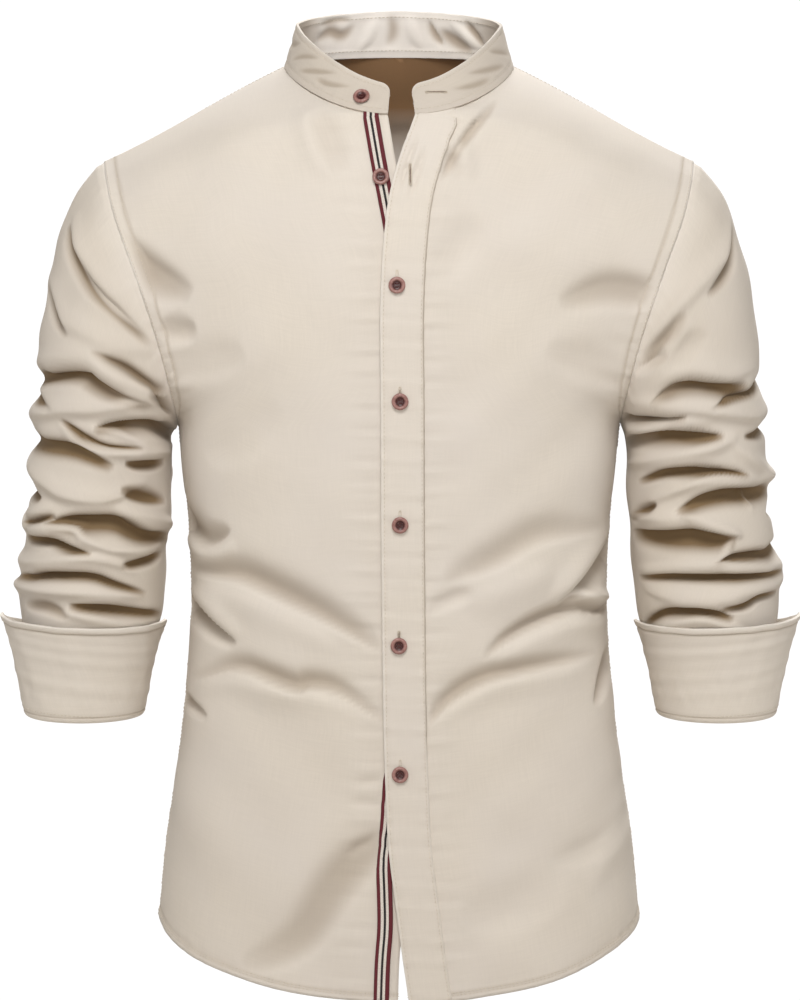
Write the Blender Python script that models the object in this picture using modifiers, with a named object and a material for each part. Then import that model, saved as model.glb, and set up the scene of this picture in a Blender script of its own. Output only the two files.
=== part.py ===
"""Long-sleeve shirt with a band collar and turned-back cuffs, in the shape it has when worn, hollow.

Metres, +Z up, the front faces -Y and the wearer's left is +X. The origin is in the middle of the neck,
at the height where the shoulder seams meet the collar. Every piece of cloth is a wall of its own, lofted
through sections, and pieces stop about 0.3 mm short of each other at the seams.
"""
from collections import namedtuple
from math import radians

import bmesh
import bpy
import numpy as np
from mathutils import Vector

# ---------------------------------------------------------------- driving dimensions
CLOTH = 0.0012            # wall of the body and the sleeves
DOUBLE_CLOTH = 0.0024     # collar and cuffs are two layers
TRIM = 0.0010             # tape and buttonhole strip
SEAM_GAP = 0.0003         # room between neighbouring pieces
TRIM_FACE = TRIM + 0.0004 # outer face of a trim, above the panel that it lies on
OVERLAP_LIFT = 0.0033     # the upper front passes this far over the lower one and its tape
BODY_MIDDLE = np.array((0.0, 0.0, -0.3))
NECK_MIDDLE = np.array((0.0, 0.0, 0.0))
SHOULDER_TIP = (0.2320, 0.0100, -0.0745)
SIDE_NECK = (0.0885, 0.0100, 0.0005)
UNDERARM = (0.1745, 0.0000, -0.2790)
FRONT_NECK_Y, FRONT_NECK_Z = -0.0850, -0.0350
BACK_NECK_Y, BACK_NECK_Z = 0.0780, 0.0070
FRONT_HEM_Z, BACK_HEM_Z, SIDE_HEM_Z = -0.7170, -0.7180, -0.6755
STRIP_WIDTH = 0.0330      # buttonhole strip
TAPE_WIDTH = 0.0120
TAPE_INSET = 0.0070       # cloth that shows between the tape and the edge of the front
BUTTON_RADIUS = 0.0064
BUTTON_THICKNESS = 0.0028
WRIST_Y = -0.0110
WRIST_X = {1: 0.2523, -1: 0.2501}         # left and right sleeve
COLLAR_LEAN = (8.0, 18.0, 44.0)           # degrees inward at the back, the sides and the front
COLLAR_HEIGHT = (0.0360, 0.0320, 0.0290)  # at the same three places
COLLAR_CORNER = 0.0090    # radius of the rounded front corners
COLLAR_RAISE = (0.0006, 0.0008, 0.0017)   # how far the seam edge stands clear of the body there
SLEEVE_END_Z = -0.4990

FRONT_ROWS, FRONT_COLUMNS = 34, 14
BACK_ROWS, BACK_COLUMNS = 30, 9
SLEEVE_RINGS, SLEEVE_SIDES = 32, 28
CUFF_SIDES = 24
COLLAR_STEPS = 30
BUTTON_SIDES = 10

CLOTH_COLOUR = (0.68, 0.61, 0.50, 1.0)
TAPE_COLOUR = (0.12, 0.01, 0.02, 1.0)
BUTTON_COLOUR = (0.30, 0.12, 0.10, 1.0)

# ---------------------------------------------------------------- sections of the body
# One row for each section, from hem to shoulder. side_* is the outer end of the row, on the side seam and
# then the armhole; centre_* is the inner end, on the centre line and then the neckline. turn is the angle
# in plan at which the cloth leaves the outer end, 0 straight forward or back and 90 straight inward.
# side_pull and centre_pull are the lengths of the curve's handles, as shares of the row.
Section = namedtuple("Section", "side_x side_y side_z centre_y centre_z turn side_pull centre_pull")
FRONT = (
    Section(0.1925, 0.0000, SIDE_HEM_Z, -0.1220, FRONT_HEM_Z, 4, 0.36, 0.46),
    Section(0.1865, 0.0000, -0.6140, -0.1210, -0.6425, 3, 0.36, 0.46),
    Section(0.1765, 0.0000, -0.5495, -0.1180, -0.5655, 2, 0.36, 0.46),
    Section(0.1695, 0.0000, -0.4890, -0.1160, -0.4945, 0, 0.36, 0.46),
    Section(0.1650, 0.0000, -0.4230, -0.1160, -0.4235, 0, 0.36, 0.46),
    Section(0.1675, 0.0000, -0.3480, -0.1190, -0.3435, 0, 0.36, 0.46),
    Section(*UNDERARM, -0.1210, -0.2685, 0, 0.34, 0.46),
    Section(0.1755, -0.0450, -0.2575, -0.1200, -0.2190, 30, 0.30, 0.44),
    Section(0.1870, -0.0650, -0.2070, -0.1170, -0.1595, 58, 0.30, 0.42),
    Section(0.2045, -0.0620, -0.1545, -0.1060, -0.0960, 64, 0.30, 0.38),
    Section(0.2205, -0.0420, -0.1135, FRONT_NECK_Y, FRONT_NECK_Z, 68, 0.30, 0.36),
    Section(0.2280, -0.0180, -0.0880, 0.0, 0.0, 78, 0.30, 0.33),
    Section(*SHOULDER_TIP, 0.0, 0.0, 90, 0.30, 0.33),
)
BACK = (
    Section(0.1925, 0.0000, SIDE_HEM_Z, 0.1140, BACK_HEM_Z, 4, 0.36, 0.46),
    Section(0.1865, 0.0000, -0.6140, 0.1120, -0.6410, 3, 0.36, 0.46),
    Section(0.1765, 0.0000, -0.5495, 0.1080, -0.5645, 2, 0.36, 0.46),
    Section(0.1695, 0.0000, -0.4890, 0.1000, -0.4935, 0, 0.36, 0.46),
    Section(0.1650, 0.0000, -0.4230, 0.0960, -0.4230, 0, 0.36, 0.46),
    Section(0.1675, 0.0000, -0.3480, 0.1020, -0.3430, 0, 0.36, 0.46),
    Section(*UNDERARM, 0.1100, -0.2630, 0, 0.34, 0.46),
    Section(0.1770, 0.0480, -0.2535, 0.1150, -0.1990, 28, 0.30, 0.44),
    Section(0.1890, 0.0720, -0.2010, 0.1160, -0.1350, 55, 0.30, 0.42),
    Section(0.2050, 0.0700, -0.1505, 0.1080, -0.0665, 62, 0.30, 0.38),
    Section(0.2205, 0.0500, -0.1085, BACK_NECK_Y, BACK_NECK_Z, 68, 0.30, 0.36),
    Section(0.2280, 0.0310, -0.0870, 0.0, 0.0, 78, 0.30, 0.33),
    Section(*SHOULDER_TIP, 0.0, 0.0, 90, 0.30, 0.33),
)
UNDERARM_SECTION = 6      # the section at the bottom of the armhole
NECK_SECTION = 10         # the section whose inner end is the corner of the neckline

# Free edges of the two fronts: how far right of the middle each lies at each height.
EdgePlace = namedtuple("EdgePlace", "z left_front right_front")
EDGES = (
    EdgePlace(-0.7250, 0.0090, -0.0010),
    EdgePlace(-0.6785, 0.0023, 0.0008),
    EdgePlace(-0.6425, -0.0023, 0.0045),
    EdgePlace(-0.5965, -0.0080, 0.0095),
    EdgePlace(-0.5450, -0.0105, 0.0131),
    EdgePlace(-0.4035, -0.0130, 0.0131),
    EdgePlace(-0.2535, -0.0137, 0.0130),
    EdgePlace(-0.1645, -0.0137, 0.0129),
    EdgePlace(-0.1255, -0.0113, 0.0083),
    EdgePlace(-0.0960, -0.0075, 0.0029),
    EdgePlace(-0.0715, -0.0010, -0.0020),
    EdgePlace(-0.0350, 0.0121, -0.0084),
)

# ---------------------------------------------------------------- sections of the sleeves
Ring = namedtuple("Ring", "outer_x outer_z inner_x inner_z half_depth middle_y")
SLEEVE = (
    Ring(SHOULDER_TIP[0], SHOULDER_TIP[2], UNDERARM[0], UNDERARM[2], 0.0680, 0.003),
    Ring(0.2520, -0.1015, 0.1760, -0.2835, 0.0690, 0.001),
    Ring(0.2700, -0.1505, 0.1780, -0.2915, 0.0690, -0.001),
    Ring(0.2820, -0.2140, 0.1795, -0.3050, 0.0680, -0.003),
    Ring(0.2870, -0.2780, 0.1800, -0.3280, 0.0660, -0.005),
    Ring(0.2920, -0.3380, 0.1820, -0.3570, 0.0650, -0.007),
    Ring(0.2985, -0.3860, 0.1845, -0.3910, 0.0640, -0.009),
    Ring(0.3005, -0.4285, 0.1885, -0.4285, 0.0590, WRIST_Y),
    Ring(0.2970, -0.4635, 0.2010, -0.4635, 0.0480, WRIST_Y),
    Ring(0.2940, SLEEVE_END_Z, 0.2090, SLEEVE_END_Z, 0.0400, WRIST_Y),
)
ARMHOLE_FADE = 0.40       # share of the sleeve over which the armhole's own shape dies away

SLEEVE_RADIUS = 0.060     # turns an angle round the sleeve into a length
CUFF_TILT = 0.0025        # the free edge is this much higher on the outer side

# Cuff, from the edge sewn to the sleeve, round the turn, to the free edge at the top.
CuffPoint = namedtuple("CuffPoint", "half_width half_depth z")
CUFF = (
    CuffPoint(0.0419, 0.0394, SLEEVE_END_Z - SEAM_GAP),
    CuffPoint(0.0419, 0.0394, -0.5050),
    CuffPoint(0.0428, 0.0403, -0.5085),
    CuffPoint(0.0448, 0.0423, -0.5098),
    CuffPoint(0.0468, 0.0443, -0.5082),
    CuffPoint(0.0482, 0.0458, -0.5020),
    CuffPoint(0.0530, 0.0510, -0.4757),
    CuffPoint(0.0584, 0.0570, -0.4515),
    CuffPoint(0.0643, 0.0628, -0.4318),
)

# ---------------------------------------------------------------- folds
# A fold runs through three places. On the body a place is (x, z); on a sleeve it is (angle, z), the angle
# in degrees round the tube: 0 outer side, 90 front, 180 against the body, 270 back. rise is how far the
# cloth stands out, or in when negative, and spread how wide the fold is.
Fold = namedtuple("Fold", "first middle last rise spread")
FRONT_FOLDS = (
    Fold((-0.150, -0.381), (-0.085, -0.397), (-0.020, -0.446), -0.0080, 0.016),
    Fold((-0.162, -0.353), (-0.120, -0.359), (-0.060, -0.381), 0.0055, 0.015),
    Fold((-0.162, -0.408), (-0.120, -0.426), (-0.060, -0.442), 0.0050, 0.014),
    Fold((-0.158, -0.472), (-0.085, -0.464), (-0.014, -0.494), -0.0070, 0.015),
    Fold((-0.201, -0.137), (-0.182, -0.150), (-0.148, -0.172), -0.0045, 0.015),
    Fold((0.159, -0.421), (0.109, -0.422), (0.058, -0.451), -0.0075, 0.015),
    Fold((0.159, -0.388), (0.124, -0.395), (0.080, -0.416), 0.0050, 0.014),
    Fold((0.159, -0.457), (0.088, -0.463), (0.019, -0.507), -0.0070, 0.015),
    Fold((0.164, -0.439), (0.110, -0.444), (0.050, -0.474), 0.0050, 0.013),
    Fold((0.187, -0.179), (0.157, -0.176), (0.113, -0.179), -0.0045, 0.015),
)
BACK_FOLDS = (
    Fold((-0.154, -0.393), (-0.080, -0.418), (0.010, -0.411), -0.0080, 0.016),
    Fold((0.159, -0.378), (0.080, -0.398), (0.020, -0.438), -0.0075, 0.016),
    Fold((-0.154, -0.458), (-0.070, -0.471), (0.040, -0.463), -0.0065, 0.015),
    Fold((0.157, -0.433), (0.100, -0.455), (0.060, -0.493), -0.0060, 0.015),
    Fold((-0.187, -0.174), (-0.148, -0.224), (-0.120, -0.293), 0.0050, 0.016),
    Fold((0.187, -0.169), (0.153, -0.229), (0.133, -0.303), 0.0050, 0.016),
)
RIGHT_SLEEVE_FOLDS = (
    Fold((33, -0.120), (80, -0.174), (144, -0.223), 0.0050, 0.012),
    Fold((21, -0.151), (66, -0.201), (128, -0.220), 0.0040, 0.011),
    Fold((10, -0.238), (80, -0.234), (128, -0.255), -0.0060, 0.011),
    Fold((-5, -0.271), (60, -0.261), (160, -0.265), 0.0055, 0.011),
    Fold((88, -0.275), (125, -0.283), (172, -0.295), -0.0055, 0.010),
    Fold((30, -0.291), (70, -0.299), (120, -0.315), -0.0050, 0.012),
    Fold((15, -0.322), (80, -0.336), (172, -0.360), 0.0060, 0.011),
    Fold((-70, -0.368), (-10, -0.357), (35, -0.359), 0.0065, 0.012),
    Fold((50, -0.345), (110, -0.353), (165, -0.377), -0.0065, 0.010),
    Fold((15, -0.382), (80, -0.381), (145, -0.401), 0.0055, 0.010),
    Fold((30, -0.397), (80, -0.400), (150, -0.419), -0.0060, 0.010),
    Fold((200, -0.293), (250, -0.255), (320, -0.255), 0.0050, 0.012),
    Fold((190, -0.323), (260, -0.283), (340, -0.293), -0.0055, 0.012),
    Fold((200, -0.338), (265, -0.315), (345, -0.328), 0.0055, 0.012),
    Fold((195, -0.368), (255, -0.345), (330, -0.343), -0.0060, 0.011),
    Fold((200, -0.388), (270, -0.375), (340, -0.388), 0.0050, 0.011),
    Fold((205, -0.411), (280, -0.403), (345, -0.409), -0.0050, 0.010),
)
LEFT_SLEEVE_FOLDS = (
    Fold((38, -0.123), (88, -0.184), (150, -0.224), 0.0050, 0.012),
    Fold((8, -0.244), (70, -0.244), (125, -0.234), -0.0060, 0.011),
    Fold((15, -0.269), (80, -0.269), (165, -0.257), 0.0060, 0.011),
    Fold((35, -0.287), (90, -0.293), (165, -0.285), -0.0055, 0.010),
    Fold((-25, -0.320), (40, -0.299), (160, -0.318), 0.0060, 0.011),
    Fold((-5, -0.338), (60, -0.340), (150, -0.338), -0.0060, 0.011),
    Fold((30, -0.367), (95, -0.359), (165, -0.357), 0.0055, 0.011),
    Fold((-5, -0.395), (70, -0.399), (165, -0.401), -0.0065, 0.011),
    Fold((-40, -0.385), (0, -0.379), (60, -0.379), 0.0050, 0.010),
    Fold((195, -0.278), (260, -0.251), (330, -0.265), 0.0050, 0.012),
    Fold((190, -0.313), (255, -0.285), (335, -0.285), -0.0055, 0.012),
    Fold((200, -0.333), (275, -0.311), (345, -0.323), 0.0055, 0.012),
    Fold((195, -0.357), (260, -0.343), (340, -0.351), -0.0055, 0.011),
    Fold((205, -0.388), (275, -0.375), (345, -0.378), 0.0050, 0.011),
    Fold((200, -0.413), (265, -0.401), (340, -0.408), -0.0050, 0.010),
)

# ---------------------------------------------------------------- buttons: (x, z) of each centre
BUTTONS = (
    (-0.0283, -0.0217),
    (-0.0137, -0.0812),
    (-0.0015, -0.1616),
    (0.0008, -0.2496),
    (0.0008, -0.3443),
    (0.0000, -0.4378),
    (0.0008, -0.5376),
)


# ---------------------------------------------------------------- curves
def smooth(at, knots, values):
    """The value at each place, on a cubic through the values at the knots."""
    knots, values = np.asarray(knots, float), np.asarray(values, float)
    slopes = np.gradient(values, knots, axis=0)
    at = np.clip(at, knots[0], knots[-1])
    left = np.clip(np.searchsorted(knots, at, side="right") - 1, 0, len(knots) - 2)
    span = knots[left + 1] - knots[left]
    t = (at - knots[left]) / span
    if values.ndim > 1:
        t, span = t[..., None], span[..., None]
    start, end = values[left], values[left + 1]
    return (
        (2 * t**3 - 3 * t**2 + 1) * start
        + (t**3 - 2 * t**2 + t) * span * slopes[left]
        + (3 * t**2 - 2 * t**3) * end
        + (t**3 - t**2) * span * slopes[left + 1]
    )


def bezier(points, t):
    """Places at t on the cubic with these four control points."""
    a, b, c, d = (np.asarray(p, float) for p in points)
    t = np.asarray(t, float)[..., None]
    return a * (1 - t) ** 3 + 3 * b * t * (1 - t) ** 2 + 3 * c * t**2 * (1 - t) + d * t**3


def ease(t):
    """0 to 1 with no slope at either end."""
    t = np.clip(t, 0.0, 1.0)
    return t * t * (3 - 2 * t)


def even_places(line, shares):
    """Places on a polyline at these shares of its length."""
    steps = np.linalg.norm(np.diff(line, axis=0), axis=1)
    run = np.concatenate(([0.0], np.cumsum(steps)))
    return np.stack([np.interp(np.asarray(shares) * run[-1], run, line[:, k]) for k in range(3)], axis=1)


def fold_relief(places, folds):
    """How far the folds push each place (rows of two coordinates) outward."""
    shift = np.zeros(len(places))
    for fold in folds:
        path = smooth(np.linspace(0, 2, 9), (0, 1, 2), (fold.first, fold.middle, fold.last))
        best = np.full(len(places), np.inf)
        share = np.zeros(len(places))
        for k, (start, end) in enumerate(zip(path, path[1:])):
            along = end - start
            t = np.clip(((places - start) @ along) / (along @ along), 0, 1)
            distance = np.linalg.norm(places - start - t[:, None] * along, axis=1)
            nearer = distance < best
            best = np.where(nearer, distance, best)
            share = np.where(nearer, (k + t) / (len(path) - 1), share)
        shift += fold.rise * np.exp(-((best / fold.spread) ** 2)) * (1 - np.abs(2 * share - 1) ** 4)
    return shift


def grid_normals(grid, outward):
    """Unit normals of a grid of points, turned so that they face away from the points of outward."""
    down = np.gradient(grid, axis=0)
    across = np.gradient(grid, axis=1)
    normals = np.cross(down, across)
    normals /= np.maximum(np.linalg.norm(normals, axis=2, keepdims=True), 1e-12)
    facing = np.sum(normals * (grid - outward), axis=2).mean()
    return normals if facing > 0 else -normals


# ---------------------------------------------------------------- the body
def section_knots(sections):
    """Where each section lies between hem (0) and shoulder (1), by the length of the side."""
    steps = [
        abs(b.side_z - a.side_z) + 0.5 * abs(b.side_y - a.side_y)
        for a, b in zip(sections, sections[1:])
    ]
    run = np.concatenate(([0.0], np.cumsum(steps)))
    return run / run[-1]


def neckline(sections, side, centre_x, t):
    """Seam between a panel and the collar, from the centre (0) to the shoulder seam (1)."""
    neck = sections[NECK_SECTION]
    x, y, z = SIDE_NECK
    if neck.centre_y < 0:
        first_handle = (centre_x + side * 0.045, neck.centre_y - 0.003, neck.centre_z + 0.0015)
        last_handle = (side * x, -0.025, -0.006)
    else:
        first_handle = (side * 0.055, neck.centre_y, neck.centre_z)
        last_handle = (side * x, 0.045, 0.004)
    start = (centre_x, neck.centre_y, neck.centre_z)
    return bezier((start, first_handle, last_handle, (side * x, y, z)), t)


def front_edge(name, z):
    """x of a front's free edge at each height."""
    return smooth(z, [place.z for place in EDGES], [getattr(place, name) for place in EDGES])


def outer_line(sections, side, v):
    """Side seam and armhole of a panel at shares v of its height, with a corner at the underarm."""
    knots = section_knots(sections)
    points = np.array([(side * s.side_x, s.side_y, s.side_z) for s in sections])
    k = UNDERARM_SECTION
    seam = smooth(v, knots[: k + 1], points[: k + 1])
    armhole = smooth(v, knots[k:], points[k:])
    return np.where((v < knots[k])[:, None], seam, armhole)


def inner_line(sections, side, v, edge):
    """Centre line or free edge, and then the neckline, of a panel at shares v of its height."""
    knots = section_knots(sections)
    corner = knots[NECK_SECTION]
    below = sections[: NECK_SECTION + 1]
    yz = smooth(np.minimum(v, corner), knots[: NECK_SECTION + 1], [(s.centre_y, s.centre_z) for s in below])
    x = front_edge(edge, yz[:, 1]) if edge else np.zeros(len(v))
    points = np.column_stack((x, yz))
    above = v > corner
    corner_x = float(front_edge(edge, np.array([FRONT_NECK_Z]))[0]) if edge else 0.0
    points[above] = neckline(sections, side, corner_x, (v[above] - corner) / (1 - corner))
    return points


def panel_base(sections, side, v, u, edge=None):
    """Smooth panel as a grid: v runs hem to shoulder, u runs side to centre."""
    knots = section_knots(sections)
    outer = outer_line(sections, side, v)
    inner = inner_line(sections, side, v, edge)
    turn = np.radians(smooth(v, knots, [s.turn for s in sections]))
    side_pull = smooth(v, knots, [s.side_pull for s in sections])
    centre_pull = smooth(v, knots, [s.centre_pull for s in sections])
    facing = -1.0 if sections is FRONT else 1.0
    length = np.linalg.norm(inner - outer, axis=1)
    rise = inner[:, 2] - outer[:, 2]
    level = ease((v - knots[NECK_SECTION]) / (1 - knots[NECK_SECTION]))
    leave = np.column_stack((-side * np.sin(turn), facing * np.cos(turn), rise / length))
    arrive = np.column_stack((np.full(len(v), side), np.zeros(len(v)), -level * rise / length))
    first = outer + leave * (side_pull * length)[:, None]
    last = inner + arrive * (centre_pull * length)[:, None]
    rows = [bezier(points, u) for points in zip(outer, first, last, inner)]
    return np.array(rows)


def row_shares(sections, rows):
    """Shares of the height for the rows of a grid, with one row exactly at the corner of the neckline."""
    corner = section_knots(sections)[NECK_SECTION]
    above = max(3, round(rows * 0.2))
    return np.concatenate((np.linspace(0, corner, rows - above), np.linspace(corner, 1, above + 1)[1:]))


def overlap_lift(grid, edge_x, side):
    """How far the upper front stands out to pass over the lower one and the tape."""
    inside = (grid[..., 0] - edge_x) * side
    below_opening = 1 - ease((grid[..., 2] + 0.067) / 0.022)
    return OVERLAP_LIFT * (1 - ease((inside - 0.030) / 0.035)) * below_opening


def front_grid(name, v, u):
    """Outer face of a front, with its folds, and the normals of that face."""
    side = 1 if name == "left_front" else -1
    grid = panel_base(FRONT, side, v, u, name)
    normals = grid_normals(grid, BODY_MIDDLE)
    shift = fold_relief(grid[..., [0, 2]].reshape(-1, 2), FRONT_FOLDS).reshape(grid.shape[:2])
    shift *= ease(u / 0.12)[None, :] * ease((1 - v) / 0.08)[:, None]
    if name == "left_front":
        edge_x = front_edge(name, grid[..., 2])
        shift *= ease(((grid[..., 0] - edge_x) * side - 0.028) / 0.025)
        shift += overlap_lift(grid, edge_x, side)
    else:
        shift *= ease((-grid[..., 0] - 0.012) / 0.030)
    return grid + normals * shift[..., None], normals


# ---------------------------------------------------------------- making meshes
def material(name, colour, roughness=0.85):
    mat = bpy.data.materials.new(name)
    mat.use_nodes = True
    shader = mat.node_tree.nodes["Principled BSDF"]
    shader.inputs["Base Color"].default_value = colour
    shader.inputs["Roughness"].default_value = roughness
    shader.inputs["Metallic"].default_value = 0.0
    return mat


def mesh_object(name, bm, colour, roughness=0.85):
    mesh = bpy.data.meshes.new(name)
    bm.to_mesh(mesh)
    bm.free()
    mesh.shade_smooth()
    mesh.set_sharp_from_angle(angle=radians(50))
    mesh.materials.append(material(name, colour, roughness))
    obj = bpy.data.objects.new(name, mesh)
    SHIRT.objects.link(obj)
    return obj


def wall_object(name, sheets, thickness, colour=CLOTH_COLOUR, closed=False, roughness=0.85):
    """A closed wall of cloth from one or more grids, each with its normals; grids weld where they share points."""
    bm = bmesh.new()
    pairs = {}
    outer_faces = []
    for grid, normals in sheets:
        inner = grid - normals * thickness
        corners = []
        for row, inner_row in zip(grid, inner):
            corners.append([])
            for point, inner_point in zip(row, inner_row):
                key = tuple(np.round(point, 6))
                if key not in pairs:
                    pairs[key] = (bm.verts.new(point), bm.verts.new(inner_point))
                corners[-1].append(pairs[key])
        columns = len(corners[0])
        for upper, lower in zip(corners, corners[1:]):
            for k in range(columns if closed else columns - 1):
                n = (k + 1) % columns
                outer_faces.append((upper[k], upper[n], lower[n], lower[k]))
    uses = {}
    for face in outer_faces:
        bm.faces.new([outer for outer, _ in face])
        bm.faces.new([inner for _, inner in face[::-1]])
        for a, b in zip(face, face[1:] + face[:1]):
            uses.setdefault(frozenset((a, b)), []).append((a, b))
    for sides in uses.values():
        if len(sides) == 1:
            a, b = sides[0]
            bm.faces.new((b[0], a[0], a[1], b[1]))
    bmesh.ops.recalc_face_normals(bm, faces=bm.faces)
    return mesh_object(name, bm, colour, roughness)


def square_seams(sections, v, normals):
    """Turns the normals on the side seam and the shoulder seam to lie in the plane of the seam."""
    below = v <= section_knots(sections)[UNDERARM_SECTION] + 1e-9
    normals[below, 0, 1] = 0.0
    normals[-1, :, 1] = 0.0
    normals /= np.linalg.norm(normals, axis=2, keepdims=True)
    return normals


def pull_in(grid, gap, sides=(), ends=()):
    """Draws the edges of a grid back by gap: sides are first and last columns, ends first and last rows."""
    for k, inner in sides:
        step = grid[:, inner] - grid[:, k]
        grid[:, k] += step * (gap / np.linalg.norm(step, axis=1))[:, None]
    for i, inner in ends:
        step = grid[inner] - grid[i]
        grid[i] += step * (gap / np.linalg.norm(step, axis=1))[:, None]


def build_fronts():
    v = row_shares(FRONT, FRONT_ROWS)
    u = np.linspace(0, 1, FRONT_COLUMNS + 1)
    for name in ("left_front", "right_front"):
        grid, normals = front_grid(name, v, u)
        pull_in(grid, SEAM_GAP, sides=((0, 1),), ends=((-1, -2),))
        wall_object(name, [(grid, square_seams(FRONT, v, normals))], CLOTH)


def build_back():
    """Two mirrored halves that share the points of the centre line."""
    v = row_shares(BACK, BACK_ROWS)
    u = np.linspace(0, 1, BACK_COLUMNS + 1)
    corner = section_knots(BACK)[NECK_SECTION]
    halves = []
    for side in (-1, 1):
        grid = panel_base(BACK, side, v, u)
        normals = grid_normals(grid, BODY_MIDDLE)
        normals[v <= corner, -1, 0] = 0.0
        shift = fold_relief(grid[..., [0, 2]].reshape(-1, 2), BACK_FOLDS).reshape(grid.shape[:2])
        shift *= ease(u / 0.12)[None, :] * ease((1 - v) / 0.08)[:, None]
        grid = grid + normals * shift[..., None]
        pull_in(grid, SEAM_GAP, sides=((0, 1),), ends=((-1, -2),))
        halves.append((grid, square_seams(BACK, v, normals)))
    wall_object("back", halves, CLOTH)


def edge_strip(name, v, reaches):
    """Places on a front at the given distances from its free edge, a row for each v, with the normals."""
    fine = np.linspace(0, 1, 161)
    grid, normals = front_grid(name, v, fine)
    rows, row_normals = [], []
    for row, normal in zip(grid, normals):
        steps = np.linalg.norm(np.diff(row[::-1], axis=0), axis=1)
        reach = np.concatenate(([0.0], np.cumsum(steps)))
        shares = 1 - np.interp(reaches, reach, fine)
        rows.append(np.stack([np.interp(shares, fine, row[:, k]) for k in range(3)], axis=1))
        row_normals.append(np.stack([np.interp(shares, fine, normal[:, k]) for k in range(3)], axis=1))
    return np.array(rows), np.array(row_normals)


def strip_object(name, front, reaches, colour):
    """A narrow band of cloth that lies on a front, along its free edge from hem to neck."""
    v = row_shares(FRONT, FRONT_ROWS)
    v = v[v <= section_knots(FRONT)[NECK_SECTION] + 1e-9]
    rows, normals = edge_strip(front, v, reaches)
    pull_in(rows, 0.0010, ends=((-1, -2), (0, 1)))
    return wall_object(name, [(rows + normals * TRIM_FACE, normals)], TRIM, colour)


def build_strips():
    half = STRIP_WIDTH / 2
    strip_object("front_placket", "left_front", (0.0003, half, STRIP_WIDTH), CLOTH_COLOUR)
    tape = (TAPE_INSET, TAPE_INSET + TAPE_WIDTH)
    strip_object("striped_tape", "right_front", tape, TAPE_COLOUR)


# ---------------------------------------------------------------- collar
def collar_loop(shares):
    """Seam of the collar, from the end on the right front, round the back, to the end on the left front."""
    t = np.linspace(0, 1, 40)
    ends = {name: float(front_edge(name, np.array([FRONT_NECK_Z]))[0]) for name in ("left_front", "right_front")}
    right = neckline(FRONT, -1, ends["right_front"], t)
    back_right = neckline(BACK, -1, 0.0, t)[::-1]
    back_left = neckline(BACK, 1, 0.0, t)
    left = neckline(FRONT, 1, ends["left_front"], t)[::-1]
    line = np.concatenate((right, back_right[1:], back_left[1:], left[1:]))
    return even_places(line, shares), np.linalg.norm(np.diff(line, axis=0), axis=1).sum()


def collar_grid(shares, levels):
    """Middle surface of the collar: a row for each level between seam (0) and top edge (1)."""
    base, length = collar_loop(shares)
    place = np.abs(2 * np.asarray(shares) - 1)        # 0 at the back, 1 at the front ends
    lean = np.radians(smooth(place, (0.0, 0.5, 1.0), COLLAR_LEAN))
    height = smooth(place, (0.0, 0.5, 1.0), COLLAR_HEIGHT)
    from_end = np.minimum((1 - place) / 2 * length, COLLAR_CORNER)
    height -= COLLAR_CORNER - np.sqrt(COLLAR_CORNER**2 - (COLLAR_CORNER - from_end) ** 2)
    inward = -base[:, :2] / np.linalg.norm(base[:, :2], axis=1, keepdims=True)
    rising = np.column_stack((inward * np.sin(lean)[:, None], np.cos(lean)))
    base[:, 2] += smooth(place, (0.0, 0.5, 1.0), COLLAR_RAISE)
    return np.array([base + rising * (height * level)[:, None] for level in levels])


def build_collar():
    _, length = collar_loop((0.0, 1.0))
    near = np.array((0.0, 0.0006, 0.0022, 0.0048, COLLAR_CORNER)) / length
    middle = np.linspace(near[-1], 1 - near[-1], COLLAR_STEPS + 1)[1:-1]
    shares = np.concatenate((near, middle, 1 - near[::-1]))
    grid = collar_grid(shares, (0.0, 0.35, 0.7, 1.0))
    normals = grid_normals(grid, NECK_MIDDLE)
    wall_object("collar_band", [(grid + normals * DOUBLE_CLOTH / 2, normals)], DOUBLE_CLOTH)


# ---------------------------------------------------------------- sleeves and cuffs
def armhole_loop(side, angles):
    """Armhole at each angle: over the front from the shoulder tip (0) to the underarm (180), back up to 360."""
    start = section_knots(FRONT)[UNDERARM_SECTION]
    front = outer_line(FRONT, side, np.linspace(start, 1, 60))[::-1]
    start = section_knots(BACK)[UNDERARM_SECTION]
    back = outer_line(BACK, side, np.linspace(start, 1, 60))
    return np.where(
        (angles <= 180)[:, None],
        even_places(front, np.clip(angles / 180, 0, 1)),
        even_places(back, np.clip(angles / 180 - 1, 0, 1)),
    )


def sleeve_base(side, t, angles):
    """Smooth sleeve: a ring for each share t of its length, with no folds."""
    rings = np.array(SLEEVE)
    middle = (rings[:, 0:2] + rings[:, 2:4]) / 2
    run = np.concatenate(([0.0], np.cumsum(np.linalg.norm(np.diff(middle, axis=0), axis=1))))
    sections = smooth(t, run / run[-1], rings)
    around = np.radians(angles)
    sideways = WRIST_X[side] - middle[-1, 0]
    grid = []
    for outer_x, outer_z, inner_x, inner_z, half_depth, middle_y in sections:
        x = (outer_x + inner_x) / 2 + (outer_x - inner_x) / 2 * np.cos(around)
        z = (outer_z + inner_z) / 2 + (outer_z - inner_z) / 2 * np.cos(around)
        x = x + sideways * ease((-0.39 - z.mean()) / 0.08)
        grid.append(np.column_stack((side * x, middle_y - half_depth * np.sin(around), z)))
    grid = np.array(grid)
    away = armhole_loop(side, angles) - grid[0]
    return grid + away * (1 - ease(np.asarray(t) / ARMHOLE_FADE))[:, None, None]


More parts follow.
